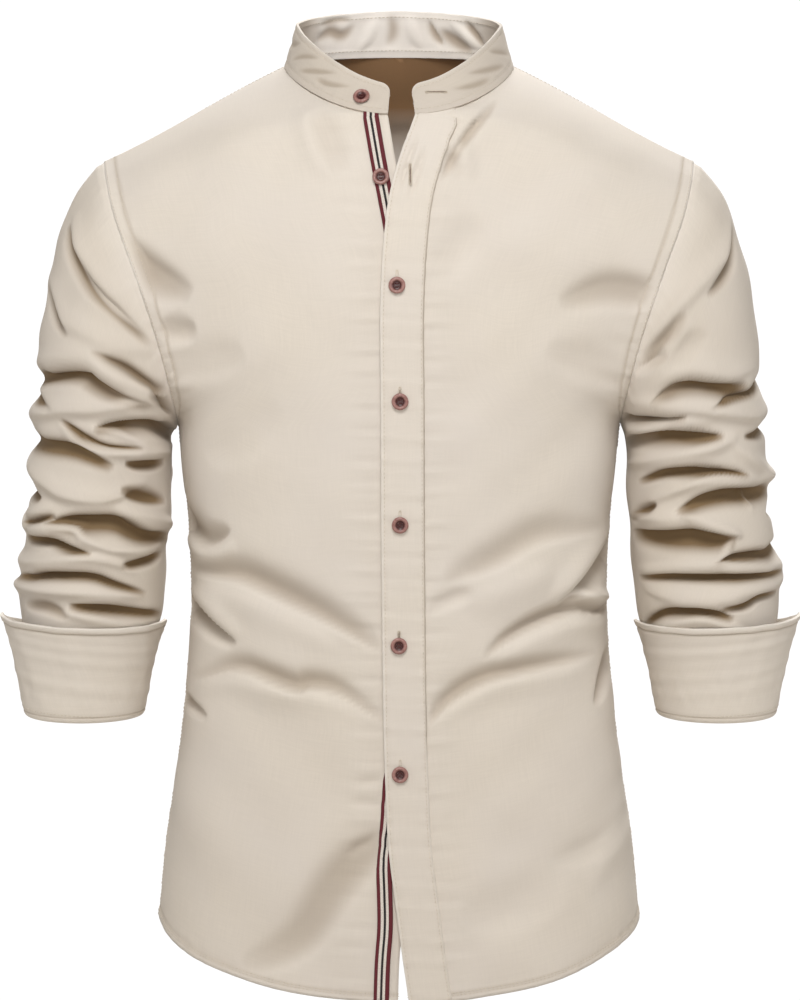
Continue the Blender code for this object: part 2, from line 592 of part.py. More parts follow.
def tube_normals(grid):
    """Outward unit normals of a closed tube of rings."""
    along = np.gradient(grid, axis=0)
    around = np.roll(grid, -1, axis=1) - np.roll(grid, 1, axis=1)
    normals = np.cross(along, around)
    normals /= np.linalg.norm(normals, axis=2, keepdims=True)
    outward = grid - grid.mean(axis=1, keepdims=True)
    return normals if np.sum(normals * outward) > 0 else -normals


def sleeve_grid(side, t, angles):
    """Outer face of a sleeve with its folds, and the normals of that face."""
    grid = sleeve_base(side, t, angles)
    normals = tube_normals(grid)
    folds = LEFT_SLEEVE_FOLDS if side > 0 else RIGHT_SLEEVE_FOLDS
    in_metres = [
        Fold(*[(radians(angle) * SLEEVE_RADIUS, z) for angle, z in fold[:3]], fold.rise, fold.spread)
        for fold in folds
    ]
    shift = np.zeros(grid.shape[:2])
    for turn in (0, -360):
        round_tube = np.broadcast_to(np.radians(angles + turn) * SLEEVE_RADIUS, grid.shape[:2])
        places = np.stack((round_tube, grid[..., 2]), axis=2).reshape(-1, 2)
        shift += fold_relief(places, in_metres).reshape(grid.shape[:2])
    shift *= (ease(np.asarray(t) / 0.10) * ease((1 - np.asarray(t)) / 0.25))[:, None]
    grid = grid + normals * shift[..., None]
    return grid, tube_normals(grid)


def build_sleeves():
    t = np.linspace(0, 1, SLEEVE_RINGS)
    angles = np.arange(SLEEVE_SIDES) * 360 / SLEEVE_SIDES
    for name, side in (("left_sleeve", 1), ("right_sleeve", -1)):
        grid, normals = sleeve_grid(side, t, angles)
        pull_in(grid, 2 * SEAM_GAP, ends=((0, 1),))
        wall_object(name, [(grid, normals)], CLOTH, closed=True)


def cuff_grid(side, rows, angles):
    """Middle surface of a turned-back cuff: one ring for each row of sizes."""
    around = np.radians(angles)
    grid = []
    for half_width, half_depth, z in rows:
        up = (z - CUFF[0].z) / (CUFF[-1].z - CUFF[0].z)
        x = side * (WRIST_X[side] + half_width * np.cos(around))
        y = WRIST_Y - half_depth * np.sin(around)
        grid.append(np.column_stack((x, y, z + CUFF_TILT * max(up, 0.0) * np.cos(around))))
    return np.array(grid)


def build_cuffs():
    angles = np.arange(CUFF_SIDES) * 360 / CUFF_SIDES
    for name, side in (("left_cuff", 1), ("right_cuff", -1)):
        grid = cuff_grid(side, CUFF, angles)
        normals = tube_normals(grid)
        wall_object(name, [(grid + normals * DOUBLE_CLOTH / 2, normals)], DOUBLE_CLOTH, closed=True)


# ---------------------------------------------------------------- buttons
def nearest_place(points, normals, x, z):
    """The point of a grid, and its normal, that shows at x and z from the front."""
    facing = normals[..., 1] < 0
    apart = np.hypot(points[..., 0] - x, points[..., 2] - z) + np.where(facing, 0.0, 1.0)
    at = np.unravel_index(np.argmin(apart), apart.shape)
    return points[at], normals[at]


def button_seats():
    """Where each button rests: on the collar, on the tape, and the rest on the buttonhole strip."""
    v = np.linspace(0, section_knots(FRONT)[NECK_SECTION], 400)
    collar = collar_grid(np.linspace(0, 0.5, 300), np.linspace(0, 1, 30))
    collar_normals = grid_normals(collar, NECK_MIDDLE)
    tape, tape_normals = edge_strip("right_front", v, np.linspace(0.0, 0.030, 31))
    strip, strip_normals = edge_strip("left_front", v, np.linspace(0.0, STRIP_WIDTH, 34))
    on_collar = (collar + collar_normals * DOUBLE_CLOTH / 2, collar_normals)
    on_tape = (tape + tape_normals * TRIM_FACE, tape_normals)
    on_strip = (strip + strip_normals * TRIM_FACE, strip_normals)
    surfaces = (on_collar, on_tape) + (on_strip,) * (len(BUTTONS) - 2)
    return [nearest_place(*surface, x, z) for surface, (x, z) in zip(surfaces, BUTTONS)]


def build_buttons():
    """Turned discs with a raised rim, their backs 0.3 mm clear of what they are sewn to."""
    r, h = BUTTON_RADIUS, BUTTON_THICKNESS
    profile = (
        (0.0, 0.62 * h), (0.50 * r, 0.62 * h), (0.66 * r, h), (0.86 * r, h),
        (r, 0.60 * h), (r, 0.25 * h), (0.82 * r, 0.0), (0.0, 0.0),
    )
    for k, (seat, normal) in enumerate(button_seats(), start=1):
        mesh = bpy.data.meshes.new(f"button_{k}")
        points = [(x, 0.0, z) for x, z in profile]
        mesh.from_pydata(points, [(i, i + 1) for i in range(len(points) - 1)], [])
        mesh.materials.append(material(f"button_{k}", BUTTON_COLOUR, 0.4))
        obj = bpy.data.objects.new(f"button_{k}", mesh)
        turned = obj.modifiers.new("turned", "SCREW")
        turned.steps = turned.render_steps = BUTTON_SIDES
        turned.use_merge_vertices = True
        turned.merge_threshold = 0.00005
        obj.location = seat + normal * SEAM_GAP
        obj.rotation_euler = Vector(normal).to_track_quat("Z", "Y").to_euler()
        SHIRT.objects.link(obj)


SHIRT = bpy.data.collections.new("band_collar_shirt")


def main():
    for obj in list(bpy.data.objects):
        bpy.data.objects.remove(obj, do_unlink=True)
    bpy.context.scene.collection.children.link(SHIRT)
    build_fronts()
    build_back()
    build_strips()
    build_collar()
    build_sleeves()
    build_cuffs()
    build_buttons()


main()
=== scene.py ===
# %% [markdown]
# # Long-sleeve shirt with a band collar
#
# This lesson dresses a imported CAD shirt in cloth. The CAD walls are plain and a little thick. Here each
# piece is made again as a thin, finely divided sheet on the same form, and gets what a CAD wall leaves
# out: creases, puckered seams, stitches, buttonholes and a woven finish. Everything is in metres, the
# front faces -Y, and the wearer's left is +X.

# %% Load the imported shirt
from collections import namedtuple
from math import pi, radians

import bmesh
import bpy
import numpy as np
from mathutils import Matrix, Vector


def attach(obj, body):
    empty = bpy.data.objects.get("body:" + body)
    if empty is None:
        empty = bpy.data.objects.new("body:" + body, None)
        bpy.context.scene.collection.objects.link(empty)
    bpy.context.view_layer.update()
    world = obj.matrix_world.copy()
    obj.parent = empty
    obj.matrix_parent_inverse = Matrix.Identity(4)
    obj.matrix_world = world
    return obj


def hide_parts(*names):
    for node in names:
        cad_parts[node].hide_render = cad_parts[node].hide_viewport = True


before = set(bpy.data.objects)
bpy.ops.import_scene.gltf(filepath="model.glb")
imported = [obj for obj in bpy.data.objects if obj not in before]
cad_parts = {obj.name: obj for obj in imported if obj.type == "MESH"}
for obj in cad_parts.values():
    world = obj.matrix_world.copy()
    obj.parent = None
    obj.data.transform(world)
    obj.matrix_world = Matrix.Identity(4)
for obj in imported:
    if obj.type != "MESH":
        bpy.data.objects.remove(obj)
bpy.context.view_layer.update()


# %% [markdown]
# ## Camera, light and floor
#
# The shirt is looked at from the front, a little from above, with a long lens, so that the sleeves keep
# their true width. A long lens is a large focal length for the same sensor. Big soft lamps in front and
# overhead make the ridges bright and leave the undersides of the folds in shade, and a dim warm
# surrounding light stands for what cloth throws back on itself inside a fold.

# %% Camera
CAMERA_TILT = 7.426


def shown(name, data):
    """A new object at the origin, linked to the scene."""
    made = bpy.data.objects.new(name, data)
    bpy.context.scene.collection.objects.link(made)
    return made


camera_data = bpy.data.cameras.new("camera")
camera_data.lens = 137.4
camera_data.sensor_width = 36
camera = shown("camera", camera_data)
camera.location = (0.0008, -3.0, 0.05)
camera.rotation_euler = (radians(90 - CAMERA_TILT), 0, 0)
bpy.context.scene.camera = camera
bpy.context.scene.view_settings.view_transform = "Standard"
print("camera at", tuple(camera.location))


# %% Lamps
SHIRT_MIDDLE = Vector((0, 0, -0.35))
NEUTRAL_LIGHT, COOL_LIGHT = (1.0, 0.995, 0.985), (0.90, 0.95, 1.0)


def soft_lamp(name, place, size, power, colour):
    """A square lamp that faces the middle of the shirt."""
    data = bpy.data.lights.new(name, "AREA")
    data.size = size
    data.energy = power
    data.color = colour
    lamp = shown(name, data)
    lamp.location = place
    to_shirt = SHIRT_MIDDLE - lamp.location
    lamp.rotation_euler = to_shirt.to_track_quat("-Z", "Y").to_euler()


soft_lamp("front_lamp", (-0.1, -2.6, 2.4), 1.4, 84, NEUTRAL_LIGHT)
soft_lamp("low_front_lamp", (0.2, -4.0, 0.3), 1.6, 35, NEUTRAL_LIGHT)
soft_lamp("left_lamp", (2.6, -0.9, 0.6), 1.4, 13, COOL_LIGHT)
soft_lamp("right_lamp", (-2.6, -0.9, 0.6), 1.4, 13, COOL_LIGHT)
soft_lamp("back_lamp", (0.3, 2.7, 1.8), 1.5, 122, NEUTRAL_LIGHT)
print(len(bpy.data.lights), "lamps")


# %% Surroundings and floor
WHITE_LEVEL = 1.05
FLOOR_Z, FLOOR_REACH = -0.92, 6


def white_to_the_eye(tree, lit, seen, output):
    """What the lens sees directly is plain white; what lights the shirt is the other shader."""
    mix = tree.nodes.new("ShaderNodeMixShader")
    path = tree.nodes.new("ShaderNodeLightPath")
    tree.links.new(path.outputs["Is Camera Ray"], mix.inputs[0])
    tree.links.new(lit.outputs[0], mix.inputs[1])
    tree.links.new(seen.outputs[0], mix.inputs[2])
    tree.links.new(mix.outputs[0], output.inputs["Surface"])


world = bpy.data.worlds.new("surroundings")
bpy.context.scene.world = world
world.use_nodes = True
world_tree = world.node_tree
dim = world_tree.nodes["Background"]
dim.inputs["Color"].default_value = (1.0, 0.86, 0.70, 1)
dim.inputs["Strength"].default_value = 0.20
white = world_tree.nodes.new("ShaderNodeBackground")
white.inputs["Color"].default_value = (1, 1, 1, 1)
white.inputs["Strength"].default_value = WHITE_LEVEL
white_to_the_eye(world_tree, dim, white, world_tree.nodes["World Output"])

around_floor = [(x * FLOOR_REACH, y * FLOOR_REACH, FLOOR_Z) for x, y in ((-1, -1), (1, -1), (1, 1), (-1, 1))]
floor_mesh = bpy.data.meshes.new("floor")
floor_mesh.from_pydata(around_floor, [], [(0, 1, 2, 3)])
floor = shown("floor", floor_mesh)
pale = bpy.data.materials.new("pale_floor")
pale.use_nodes = True
pale_tree = pale.node_tree
lit = pale_tree.nodes["Principled BSDF"]
lit.inputs["Base Color"].default_value = (0.55, 0.52, 0.48, 1)
glow = pale_tree.nodes.new("ShaderNodeEmission")
glow.inputs["Strength"].default_value = WHITE_LEVEL
white_to_the_eye(pale_tree, lit, glow, pale_tree.nodes["Material Output"])
floor_mesh.materials.append(pale)
print("floor", tuple(floor.dimensions))

# %% [markdown]
# ## The sizes of the shirt
#
# A pattern cutter works from a table of widths, and so does this script. Each row below is a level cut
# through a front or the back: where its outer end lies on the side seam or the armhole, and where its
# inner end lies on the centre line or the neckline. The sleeve is a row of rings. They are the same sizes
# that the CAD walls were lofted from, so the cloth lies where the walls are.

# %% Sizes
CLOTH = 0.0008
DOUBLE_CLOTH = 0.0022
SEAM_GAP = 0.0003
OVERLAP_LIFT = 0.0033
BODY_MIDDLE = np.array((0.0, 0.0, -0.3))
NECK_MIDDLE = np.array((0.0, 0.0, 0.0))
SHOULDER_TIP = (0.2320, 0.0100, -0.0745)
SIDE_NECK = (0.0885, 0.0100, 0.0005)
UNDERARM = (0.1745, 0.0000, -0.2790)
FRONT_NECK_Y, FRONT_NECK_Z = -0.0850, -0.0350
BACK_NECK_Y, BACK_NECK_Z = 0.0780, 0.0070
FRONT_HEM_Z, BACK_HEM_Z, SIDE_HEM_Z = -0.7170, -0.7180, -0.6755
STRIP_WIDTH = 0.0330
TAPE_WIDTH, TAPE_INSET = 0.0120, 0.0070
WRIST_Y = -0.0110
WRIST_X = {1: 0.2523, -1: 0.2501}
COLLAR_LEAN = (8.0, 18.0, 44.0)
COLLAR_HEIGHT = (0.0360, 0.0320, 0.0290)
COLLAR_CORNER = 0.0090
COLLAR_RAISE = (0.0006, 0.0008, 0.0017)
SLEEVE_END_Z = -0.4990
SLEEVE_RADIUS = 0.060

Section = namedtuple("Section", "side_x side_y side_z centre_y centre_z turn side_pull centre_pull")
FRONT = (
    Section(0.1925, 0.0000, SIDE_HEM_Z, -0.1220, FRONT_HEM_Z, 4, 0.36, 0.46),
    Section(0.1865, 0.0000, -0.6140, -0.1210, -0.6425, 3, 0.36, 0.46),
    Section(0.1765, 0.0000, -0.5495, -0.1180, -0.5655, 2, 0.36, 0.46),
    Section(0.1695, 0.0000, -0.4890, -0.1160, -0.4945, 0, 0.36, 0.46),
    Section(0.1650, 0.0000, -0.4230, -0.1160, -0.4235, 0, 0.36, 0.46),
    Section(0.1675, 0.0000, -0.3480, -0.1190, -0.3435, 0, 0.36, 0.46),
    Section(*UNDERARM, -0.1210, -0.2685, 0, 0.34, 0.46),
    Section(0.1755, -0.0450, -0.2575, -0.1200, -0.2190, 30, 0.30, 0.44),
    Section(0.1870, -0.0650, -0.2070, -0.1170, -0.1595, 58, 0.30, 0.42),
    Section(0.2045, -0.0620, -0.1545, -0.1060, -0.0960, 64, 0.30, 0.38),
    Section(0.2205, -0.0420, -0.1135, FRONT_NECK_Y, FRONT_NECK_Z, 68, 0.30, 0.36),
    Section(0.2280, -0.0180, -0.0880, 0.0, 0.0, 78, 0.30, 0.33),
    Section(*SHOULDER_TIP, 0.0, 0.0, 90, 0.30, 0.33),
)
BACK = (
    Section(0.1925, 0.0000, SIDE_HEM_Z, 0.1140, BACK_HEM_Z, 4, 0.36, 0.46),
    Section(0.1865, 0.0000, -0.6140, 0.1120, -0.6410, 3, 0.36, 0.46),
    Section(0.1765, 0.0000, -0.5495, 0.1080, -0.5645, 2, 0.36, 0.46),
    Section(0.1695, 0.0000, -0.4890, 0.1000, -0.4935, 0, 0.36, 0.46),
    Section(0.1650, 0.0000, -0.4230, 0.0960, -0.4230, 0, 0.36, 0.46),
    Section(0.1675, 0.0000, -0.3480, 0.1020, -0.3430, 0, 0.36, 0.46),
    Section(*UNDERARM, 0.1100, -0.2630, 0, 0.34, 0.46),
    Section(0.1770, 0.0480, -0.2535, 0.1150, -0.1990, 28, 0.30, 0.44),
    Section(0.1890, 0.0720, -0.2010, 0.1160, -0.1350, 55, 0.30, 0.42),
    Section(0.2050, 0.0700, -0.1505, 0.1080, -0.0665, 62, 0.30, 0.38),
    Section(0.2205, 0.0500, -0.1085, BACK_NECK_Y, BACK_NECK_Z, 68, 0.30, 0.36),
    Section(0.2280, 0.0310, -0.0870, 0.0, 0.0, 78, 0.30, 0.33),
    Section(*SHOULDER_TIP, 0.0, 0.0, 90, 0.30, 0.33),
)
UNDERARM_SECTION = 6
NECK_SECTION = 10

EdgePlace = namedtuple("EdgePlace", "z left_front right_front")
EDGES = (
    EdgePlace(-0.7250, 0.0090, -0.0010),
    EdgePlace(-0.6785, 0.0023, 0.0008),
    EdgePlace(-0.6425, -0.0023, 0.0045),
    EdgePlace(-0.5965, -0.0080, 0.0095),
    EdgePlace(-0.5450, -0.0105, 0.0131),
    EdgePlace(-0.4035, -0.0130, 0.0131),
    EdgePlace(-0.2535, -0.0137, 0.0130),
    EdgePlace(-0.1645, -0.0137, 0.0129),
    EdgePlace(-0.1255, -0.0113, 0.0083),
    EdgePlace(-0.0960, -0.0075, 0.0029),
    EdgePlace(-0.0715, -0.0010, -0.0020),
    EdgePlace(-0.0350, 0.0121, -0.0084),
)

Ring = namedtuple("Ring", "outer_x outer_z inner_x inner_z half_depth middle_y")
SLEEVE = (
    Ring(SHOULDER_TIP[0], SHOULDER_TIP[2], UNDERARM[0], UNDERARM[2], 0.0680, 0.003),
    Ring(0.2520, -0.1015, 0.1760, -0.2835, 0.0690, 0.001),
    Ring(0.2700, -0.1505, 0.1780, -0.2915, 0.0690, -0.001),
    Ring(0.2820, -0.2140, 0.1795, -0.3050, 0.0680, -0.003),
    Ring(0.2870, -0.2780, 0.1800, -0.3280, 0.0660, -0.005),
    Ring(0.2920, -0.3380, 0.1820, -0.3570, 0.0650, -0.007),
    Ring(0.2985, -0.3860, 0.1845, -0.3910, 0.0640, -0.009),
    Ring(0.3005, -0.4285, 0.1885, -0.4285, 0.0590, WRIST_Y),
    Ring(0.2970, -0.4635, 0.2010, -0.4635, 0.0480, WRIST_Y),
    Ring(0.2940, SLEEVE_END_Z, 0.2090, SLEEVE_END_Z, 0.0400, WRIST_Y),
)
ARMHOLE_FADE = 0.40

CuffPoint = namedtuple("CuffPoint", "half_width half_depth z")
CUFF_TILT = 0.0025
CUFF_BACK_DROP = 0.0172
CUFF = (
    CuffPoint(0.0419, 0.0394, SLEEVE_END_Z - SEAM_GAP),
    CuffPoint(0.0419, 0.0394, -0.5050),
    CuffPoint(0.0428, 0.0403, -0.5085),
    CuffPoint(0.0448, 0.0423, -0.5098),
    CuffPoint(0.0468, 0.0443, -0.5082),
    CuffPoint(0.0482, 0.0458, -0.5020),
    CuffPoint(0.0530, 0.0510, -0.4757),
    CuffPoint(0.0584, 0.0570, -0.4515),
    CuffPoint(0.0643, 0.0628, -0.4318),
)
print(len(FRONT), "sections,", len(SLEEVE), "sleeve rings")

# %% [markdown]
# ## Curves through the table
#
# Between the rows of the table the cloth runs in smooth curves. `smooth` draws a cubic through given
# values, `bezier` bends a row of cloth from its outer to its inner end, `ease` fades an effect in without
# a kink, and `closeness` keeps it near a line. The same few curves make every piece.


# %% Curves
def smooth(at, knots, values):
    """The value at each place, on a cubic through the values at the knots."""
    knots, values = np.asarray(knots, float), np.asarray(values, float)
    slopes = np.gradient(values, knots, axis=0)
    at = np.clip(at, knots[0], knots[-1])
    left = np.clip(np.searchsorted(knots, at, side="right") - 1, 0, len(knots) - 2)
    span = knots[left + 1] - knots[left]
    t = (at - knots[left]) / span
    if values.ndim > 1:
        t, span = t[..., None], span[..., None]
    start, end = values[left], values[left + 1]
    return (
        (2 * t**3 - 3 * t**2 + 1) * start
        + (t**3 - 2 * t**2 + t) * span * slopes[left]
        + (3 * t**2 - 2 * t**3) * end
        + (t**3 - t**2) * span * slopes[left + 1]
    )


def bezier(points, t):
    """Places at t on the cubic with these four control points."""
    a, b, c, d = (np.asarray(p, float) for p in points)
    t = np.asarray(t, float)[..., None]
    return a * (1 - t) ** 3 + 3 * b * t * (1 - t) ** 2 + 3 * c * t**2 * (1 - t) + d * t**3


def ease(t):
    """0 to 1 with no slope at either end."""
    t = np.clip(t, 0.0, 1.0)
    return t * t * (3 - 2 * t)


def closeness(distance, width):
    """1 on a line, fading to nothing about two widths away from it on both sides."""
    return np.exp(-((distance / width) ** 2))


def evened(grid, reach, spread):
    """The grid with each row mixed with the rows around it, `reach` of them to each side."""
    window = closeness(np.linspace(-spread, spread, 2 * reach + 1), 1)
    padded = np.concatenate((grid[:1].repeat(reach, axis=0), grid, grid[-1:].repeat(reach, axis=0)))
    return sum(w * padded[k : k + len(grid)] for k, w in enumerate(window)) / window.sum()


def even_places(line, shares):
    """Places on a polyline at these shares of its length."""
    steps = np.linalg.norm(np.diff(line, axis=0), axis=1)
    run = np.concatenate(([0.0], np.cumsum(steps)))
    return np.stack([np.interp(np.asarray(shares) * run[-1], run, line[:, k]) for k in range(3)], axis=1)


def grid_normals(grid, outward):
    """Unit normals of a grid of points, turned away from the point `outward`."""
    normals = np.cross(np.gradient(grid, axis=0), np.gradient(grid, axis=1))
    normals /= np.maximum(np.linalg.norm(normals, axis=2, keepdims=True), 1e-12)
    return normals if np.sum(normals * (grid - outward), axis=2).mean() > 0 else -normals


def tube_normals(grid):
    """Outward unit normals of a closed tube of rings."""
    around = np.roll(grid, -1, axis=1) - np.roll(grid, 1, axis=1)
    normals = np.cross(np.gradient(grid, axis=0), around)
    normals /= np.linalg.norm(normals, axis=2, keepdims=True)
    return normals if np.sum(normals * (grid - grid.mean(axis=1, keepdims=True))) > 0 else -normals


# %% [markdown]
# ## Creases
#
# A crease in worn cloth is not a round groove. The cloth above it hangs over in a bright ridge, drops
# steeply into shade, and comes back gently below, and the whole thing thins out to a point at both ends
# like an eye. So a crease here is a path with a rise (or a fall), and two widths, one for the side above
# the path and one for the side below. Paths run from left to right, so "above" is the left-hand side.


# %% How a crease moves the cloth
Crease = namedtuple("Crease", "rise above below path")
RIDGE_ROUNDING = 1.25
SHADE_FROM, SHADE_OVER = 0.0012, 0.0055
LIT_RISE, LIT_SHARE = 0.0045, 0.9
STEEP, OVERHANG, HANG_FROM, HANG_OVER = 0.0041, 1.7, 0.003, 0.005


def crease_relief(places, creases):
    """How far the creases push each place (rows of two coordinates, in metres) outward, how far the cloth
    above a steep crease slides over it, in the same two coordinates, and how much painted shade each place
    gets, darkest in the falls and held back on the ridges."""
    shift, shade, lit = np.zeros((3, len(places)))
    slide = np.zeros((len(places), 2))
    for rise, above, below, path in creases:
        path = np.asarray(path, float)
        line = smooth(np.linspace(0, len(path) - 1, 5 * len(path)), np.arange(len(path)), path)
        reach = 2.6 * max(above, below)
        near = np.all((places > line.min(axis=0) - reach) & (places < line.max(axis=0) + reach), axis=1)
        spots = places[near]
        best = np.full(len(spots), np.inf)
        side = np.ones(len(spots))
        share = np.zeros(len(spots))
        down = np.zeros((len(spots), 2))
        for k, (start, end) in enumerate(zip(line, line[1:])):
            along = end - start
            t = np.clip(((spots - start) @ along) / (along @ along), 0, 1)
            away = spots - start - t[:, None] * along
            distance = np.linalg.norm(away, axis=1)
            nearer = distance < best
            best = np.where(nearer, distance, best)
            side = np.where(nearer, along[0] * away[:, 1] - along[1] * away[:, 0], side)
            share = np.where(nearer, (k + t) / (len(line) - 1), share)
            down = np.where(nearer[:, None], np.array((along[1], -along[0])) / np.hypot(*along), down)
        # Full in the middle of the path, and thinning out to a point at both ends.
        fullness = np.maximum(0.0, 1 - np.abs(2 * share - 1) ** 2.4)
        width = np.where(side > 0, above, below) * (0.45 + 0.55 * fullness)
        if rise > 0:
            width *= RIDGE_ROUNDING
        # Below its path a hollow stays deep for longer before it comes back.
        steepness = np.where(side > 0, 2.0, 2.0 if rise > 0 else 3.6)
        profile = np.exp(-((best / width) ** steepness))
        shift[near] += rise * fullness * profile
        if rise > 0:
            core = np.exp(-((best / (0.62 * width)) ** 4))
            lit[near] = np.maximum(lit[near], ease(rise / LIT_RISE) * fullness * core)
        else:
            dark = ease((-rise - SHADE_FROM) / SHADE_OVER) * np.sqrt(fullness) * profile
            shade[near] = np.maximum(shade[near], dark)
        if rise < 0 and above < min(below, STEEP):
            hang = OVERHANG * above * ease((-rise - HANG_FROM) / HANG_OVER) * fullness
            height = np.where(side > 0, best, -best)
            slide[near] += (hang * closeness(height - above, above))[:, None] * down
    return shift, slide, shade * (1 - LIT_SHARE * lit)


def slid(grid, slide, closed=False):
    """Moves the points of a grid along its own surface; the second coordinate of a slide is up."""
    if closed:
        across = np.roll(grid, -1, axis=1) - np.roll(grid, 1, axis=1)
    else:
        across = np.gradient(grid, axis=1)
    upward = np.gradient(grid, axis=0)
    across /= np.linalg.norm(across, axis=2, keepdims=True)
    upward /= np.linalg.norm(upward, axis=2, keepdims=True)
    if not closed:
        across *= np.sign(across[..., :1].mean())
    upward *= np.sign(upward[..., 2:].mean())
    return grid + across * slide[..., :1] + upward * slide[..., 1:]


def in_metres(rows, across=0.001):
    """Creases from a table in millimetres, with a row of (rise, width above, width below, path) for each. On
    a sleeve the first number of a place is an angle, and `across` is the length of one degree."""
    return [
        Crease(rise / 1000, above / 1000, below / 1000, [(a * across, z / 1000) for a, z in path])
        for rise, above, below, path in rows
    ]


def ripples(run, spacing, seed):
    """An uneven wave between -1 and 1 along a seam, as where thread has drawn the cloth up."""
    chance = np.random.default_rng(seed)
    wave = np.zeros(np.shape(run))
    for share in (0.62, 1.0, 1.47):
        wave = wave + np.sin(2 * pi * run / (spacing * share) + chance.uniform(0, 2 * pi))
    return wave / 3


def rumple(places, seed, size=0.05, depth=0.0006):
    """Soft unevenness all over, as cloth never lies dead flat between its creases."""
    chance = np.random.default_rng(seed)
    shift = np.zeros(places.shape[:-1])
    for _ in range(14):
        turn = chance.uniform(0, 2 * pi)
        wavelength = size * chance.uniform(0.6, 2.0)
        along = places[..., 0] * np.cos(turn) + places[..., 1] * np.sin(turn)
        shift += np.sin(2 * pi * along / wavelength + chance.uniform(0, 2 * pi))
    return shift * depth / 3


# %% [markdown]
# ## The creases of this shirt
#
# On the body a place is (across, height) in millimetres. The waist is drawn in, so drag lines run from
# the sides down towards the buttons, deepest at the side seams. The chest and the skirt are calm.

# %% Creases of the body
RIGHT_FRONT_CREASES = in_metres((
    (-7.0, 14, 5, ((-164, -392), (-140, -390), (-119, -391), (-83, -405), (-42, -425), (-14, -442))),
    (3.5, 8, 12, ((-160, -404), (-119, -410), (-83, -424), (-45, -444))),
    (-5.5, 13, 4, ((-182, -334), (-170, -355), (-155, -366), (-141, -362), (-130, -353))),
    (3.5, 4, 7, ((-174, -362), (-158, -375), (-142, -375), (-126, -364))),
    (-8.5, 3, 13, ((-174, -412), (-158, -420), (-144, -429), (-126, -444))),
    (3.5, 7, 3, ((-164, -408), (-150, -415), (-138, -425), (-122, -439))),
    (-7.0, 10, 4.5, ((-164, -479), (-138, -464), (-119, -461), (-98, -467), (-80, -473),
                     (-69, -470), (-52, -472), (-36, -480), (-8, -500))),
    (2.5, 5, 9, ((-160, -486), (-130, -474), (-98, -478), (-60, -482), (-30, -494))),
    (-4.5, 4, 6, ((-174, -494), (-164, -498), (-150, -505))),
    (-6.5, 9, 19, ((-216, -128), (-202, -144), (-184, -157), (-158, -170))),
    (-4.0, 9, 10, ((-184, -194), (-170, -199), (-156, -196))),
    (-2.5, 14, 16, ((-176, -236), (-150, -222), (-118, -214))),
    (-2.0, 16, 16, ((-150, -300), (-120, -282), (-92, -254))),
    (-5.5, 15, 20, ((-126, -694), (-82, -668), (-54, -626), (-30, -600), (-8, -584))),
    (-1.5, 3, 5, ((-44, -604), (-30, -594), (-12, -584))),
    (-1.4, 3, 4, ((-36, -546), (-24, -545), (-12, -543))),
    (-1.4, 3, 4, ((-40, -562), (-26, -561), (-11, -563))),
    (-3.0, 10, 12, ((-62, -30), (-54, -50), (-42, -78))),
    (2.5, 8, 8, ((-76, -28), (-66, -56), (-52, -84))),
))
LEFT_FRONT_CREASES = in_metres((
    (-8.5, 3, 13, ((124, -412), (138, -399), (150, -388), (172, -366))),
    (3.5, 8, 3, ((118, -407), (134, -394), (148, -380), (170, -356))),
    (4.5, 4, 4, ((122, -414), (140, -405), (156, -412), (168, -420))),
    (-8.0, 7, 3.5, ((66, -450), (82, -437), (103, -426), (126, -419), (141, -418), (156, -423),
                    (172, -428))),
    (3.0, 4, 10, ((72, -456), (103, -438), (138, -430), (164, -436))),
    (-6.0, 9, 4, ((14, -508), (30, -489), (44, -477), (66, -466), (95, -460), (125, -457),
                  (156, -456))),
    (2.5, 4, 9, ((30, -498), (66, -476), (110, -468), (150, -466))),
    (-5.5, 3, 7, ((154, -496), (159, -478), (165, -456))),
    (-4.5, 14, 8, ((34, -388), (70, -374), (109, -356), (160, -356))),
    (3.0, 10, 14, ((50, -408), (88, -396), (120, -384))),
    (-2.5, 6, 7, ((20, -412), (40, -402), (58, -398))),
    (-5.0, 10, 16, ((122, -176), (158, -165), (184, -168), (200, -178))),
    (-5.0, 1.8, 6, ((30, -84), (38, -68), (48, -52), (60, -38), (74, -24))),
    (-2.5, 14, 16, ((112, -212), (146, -222), (176, -244))),
    (-2.0, 14, 14, ((26, -160), (44, -132), (60, -110))),
    (-2.5, 9, 12, ((118, -612), (158, -603), (184, -582))),
    (2.0, 9, 9, ((150, -640), (172, -600), (180, -560))),
    (-2.6, 20, 22, ((48, -652), (86, -640), (130, -636))),
    (-3.0, 6, 9, ((16, -44), (34, -58), (46, -84))),
    (2.5, 6, 6, ((24, -42), (44, -58), (58, -84))),
))
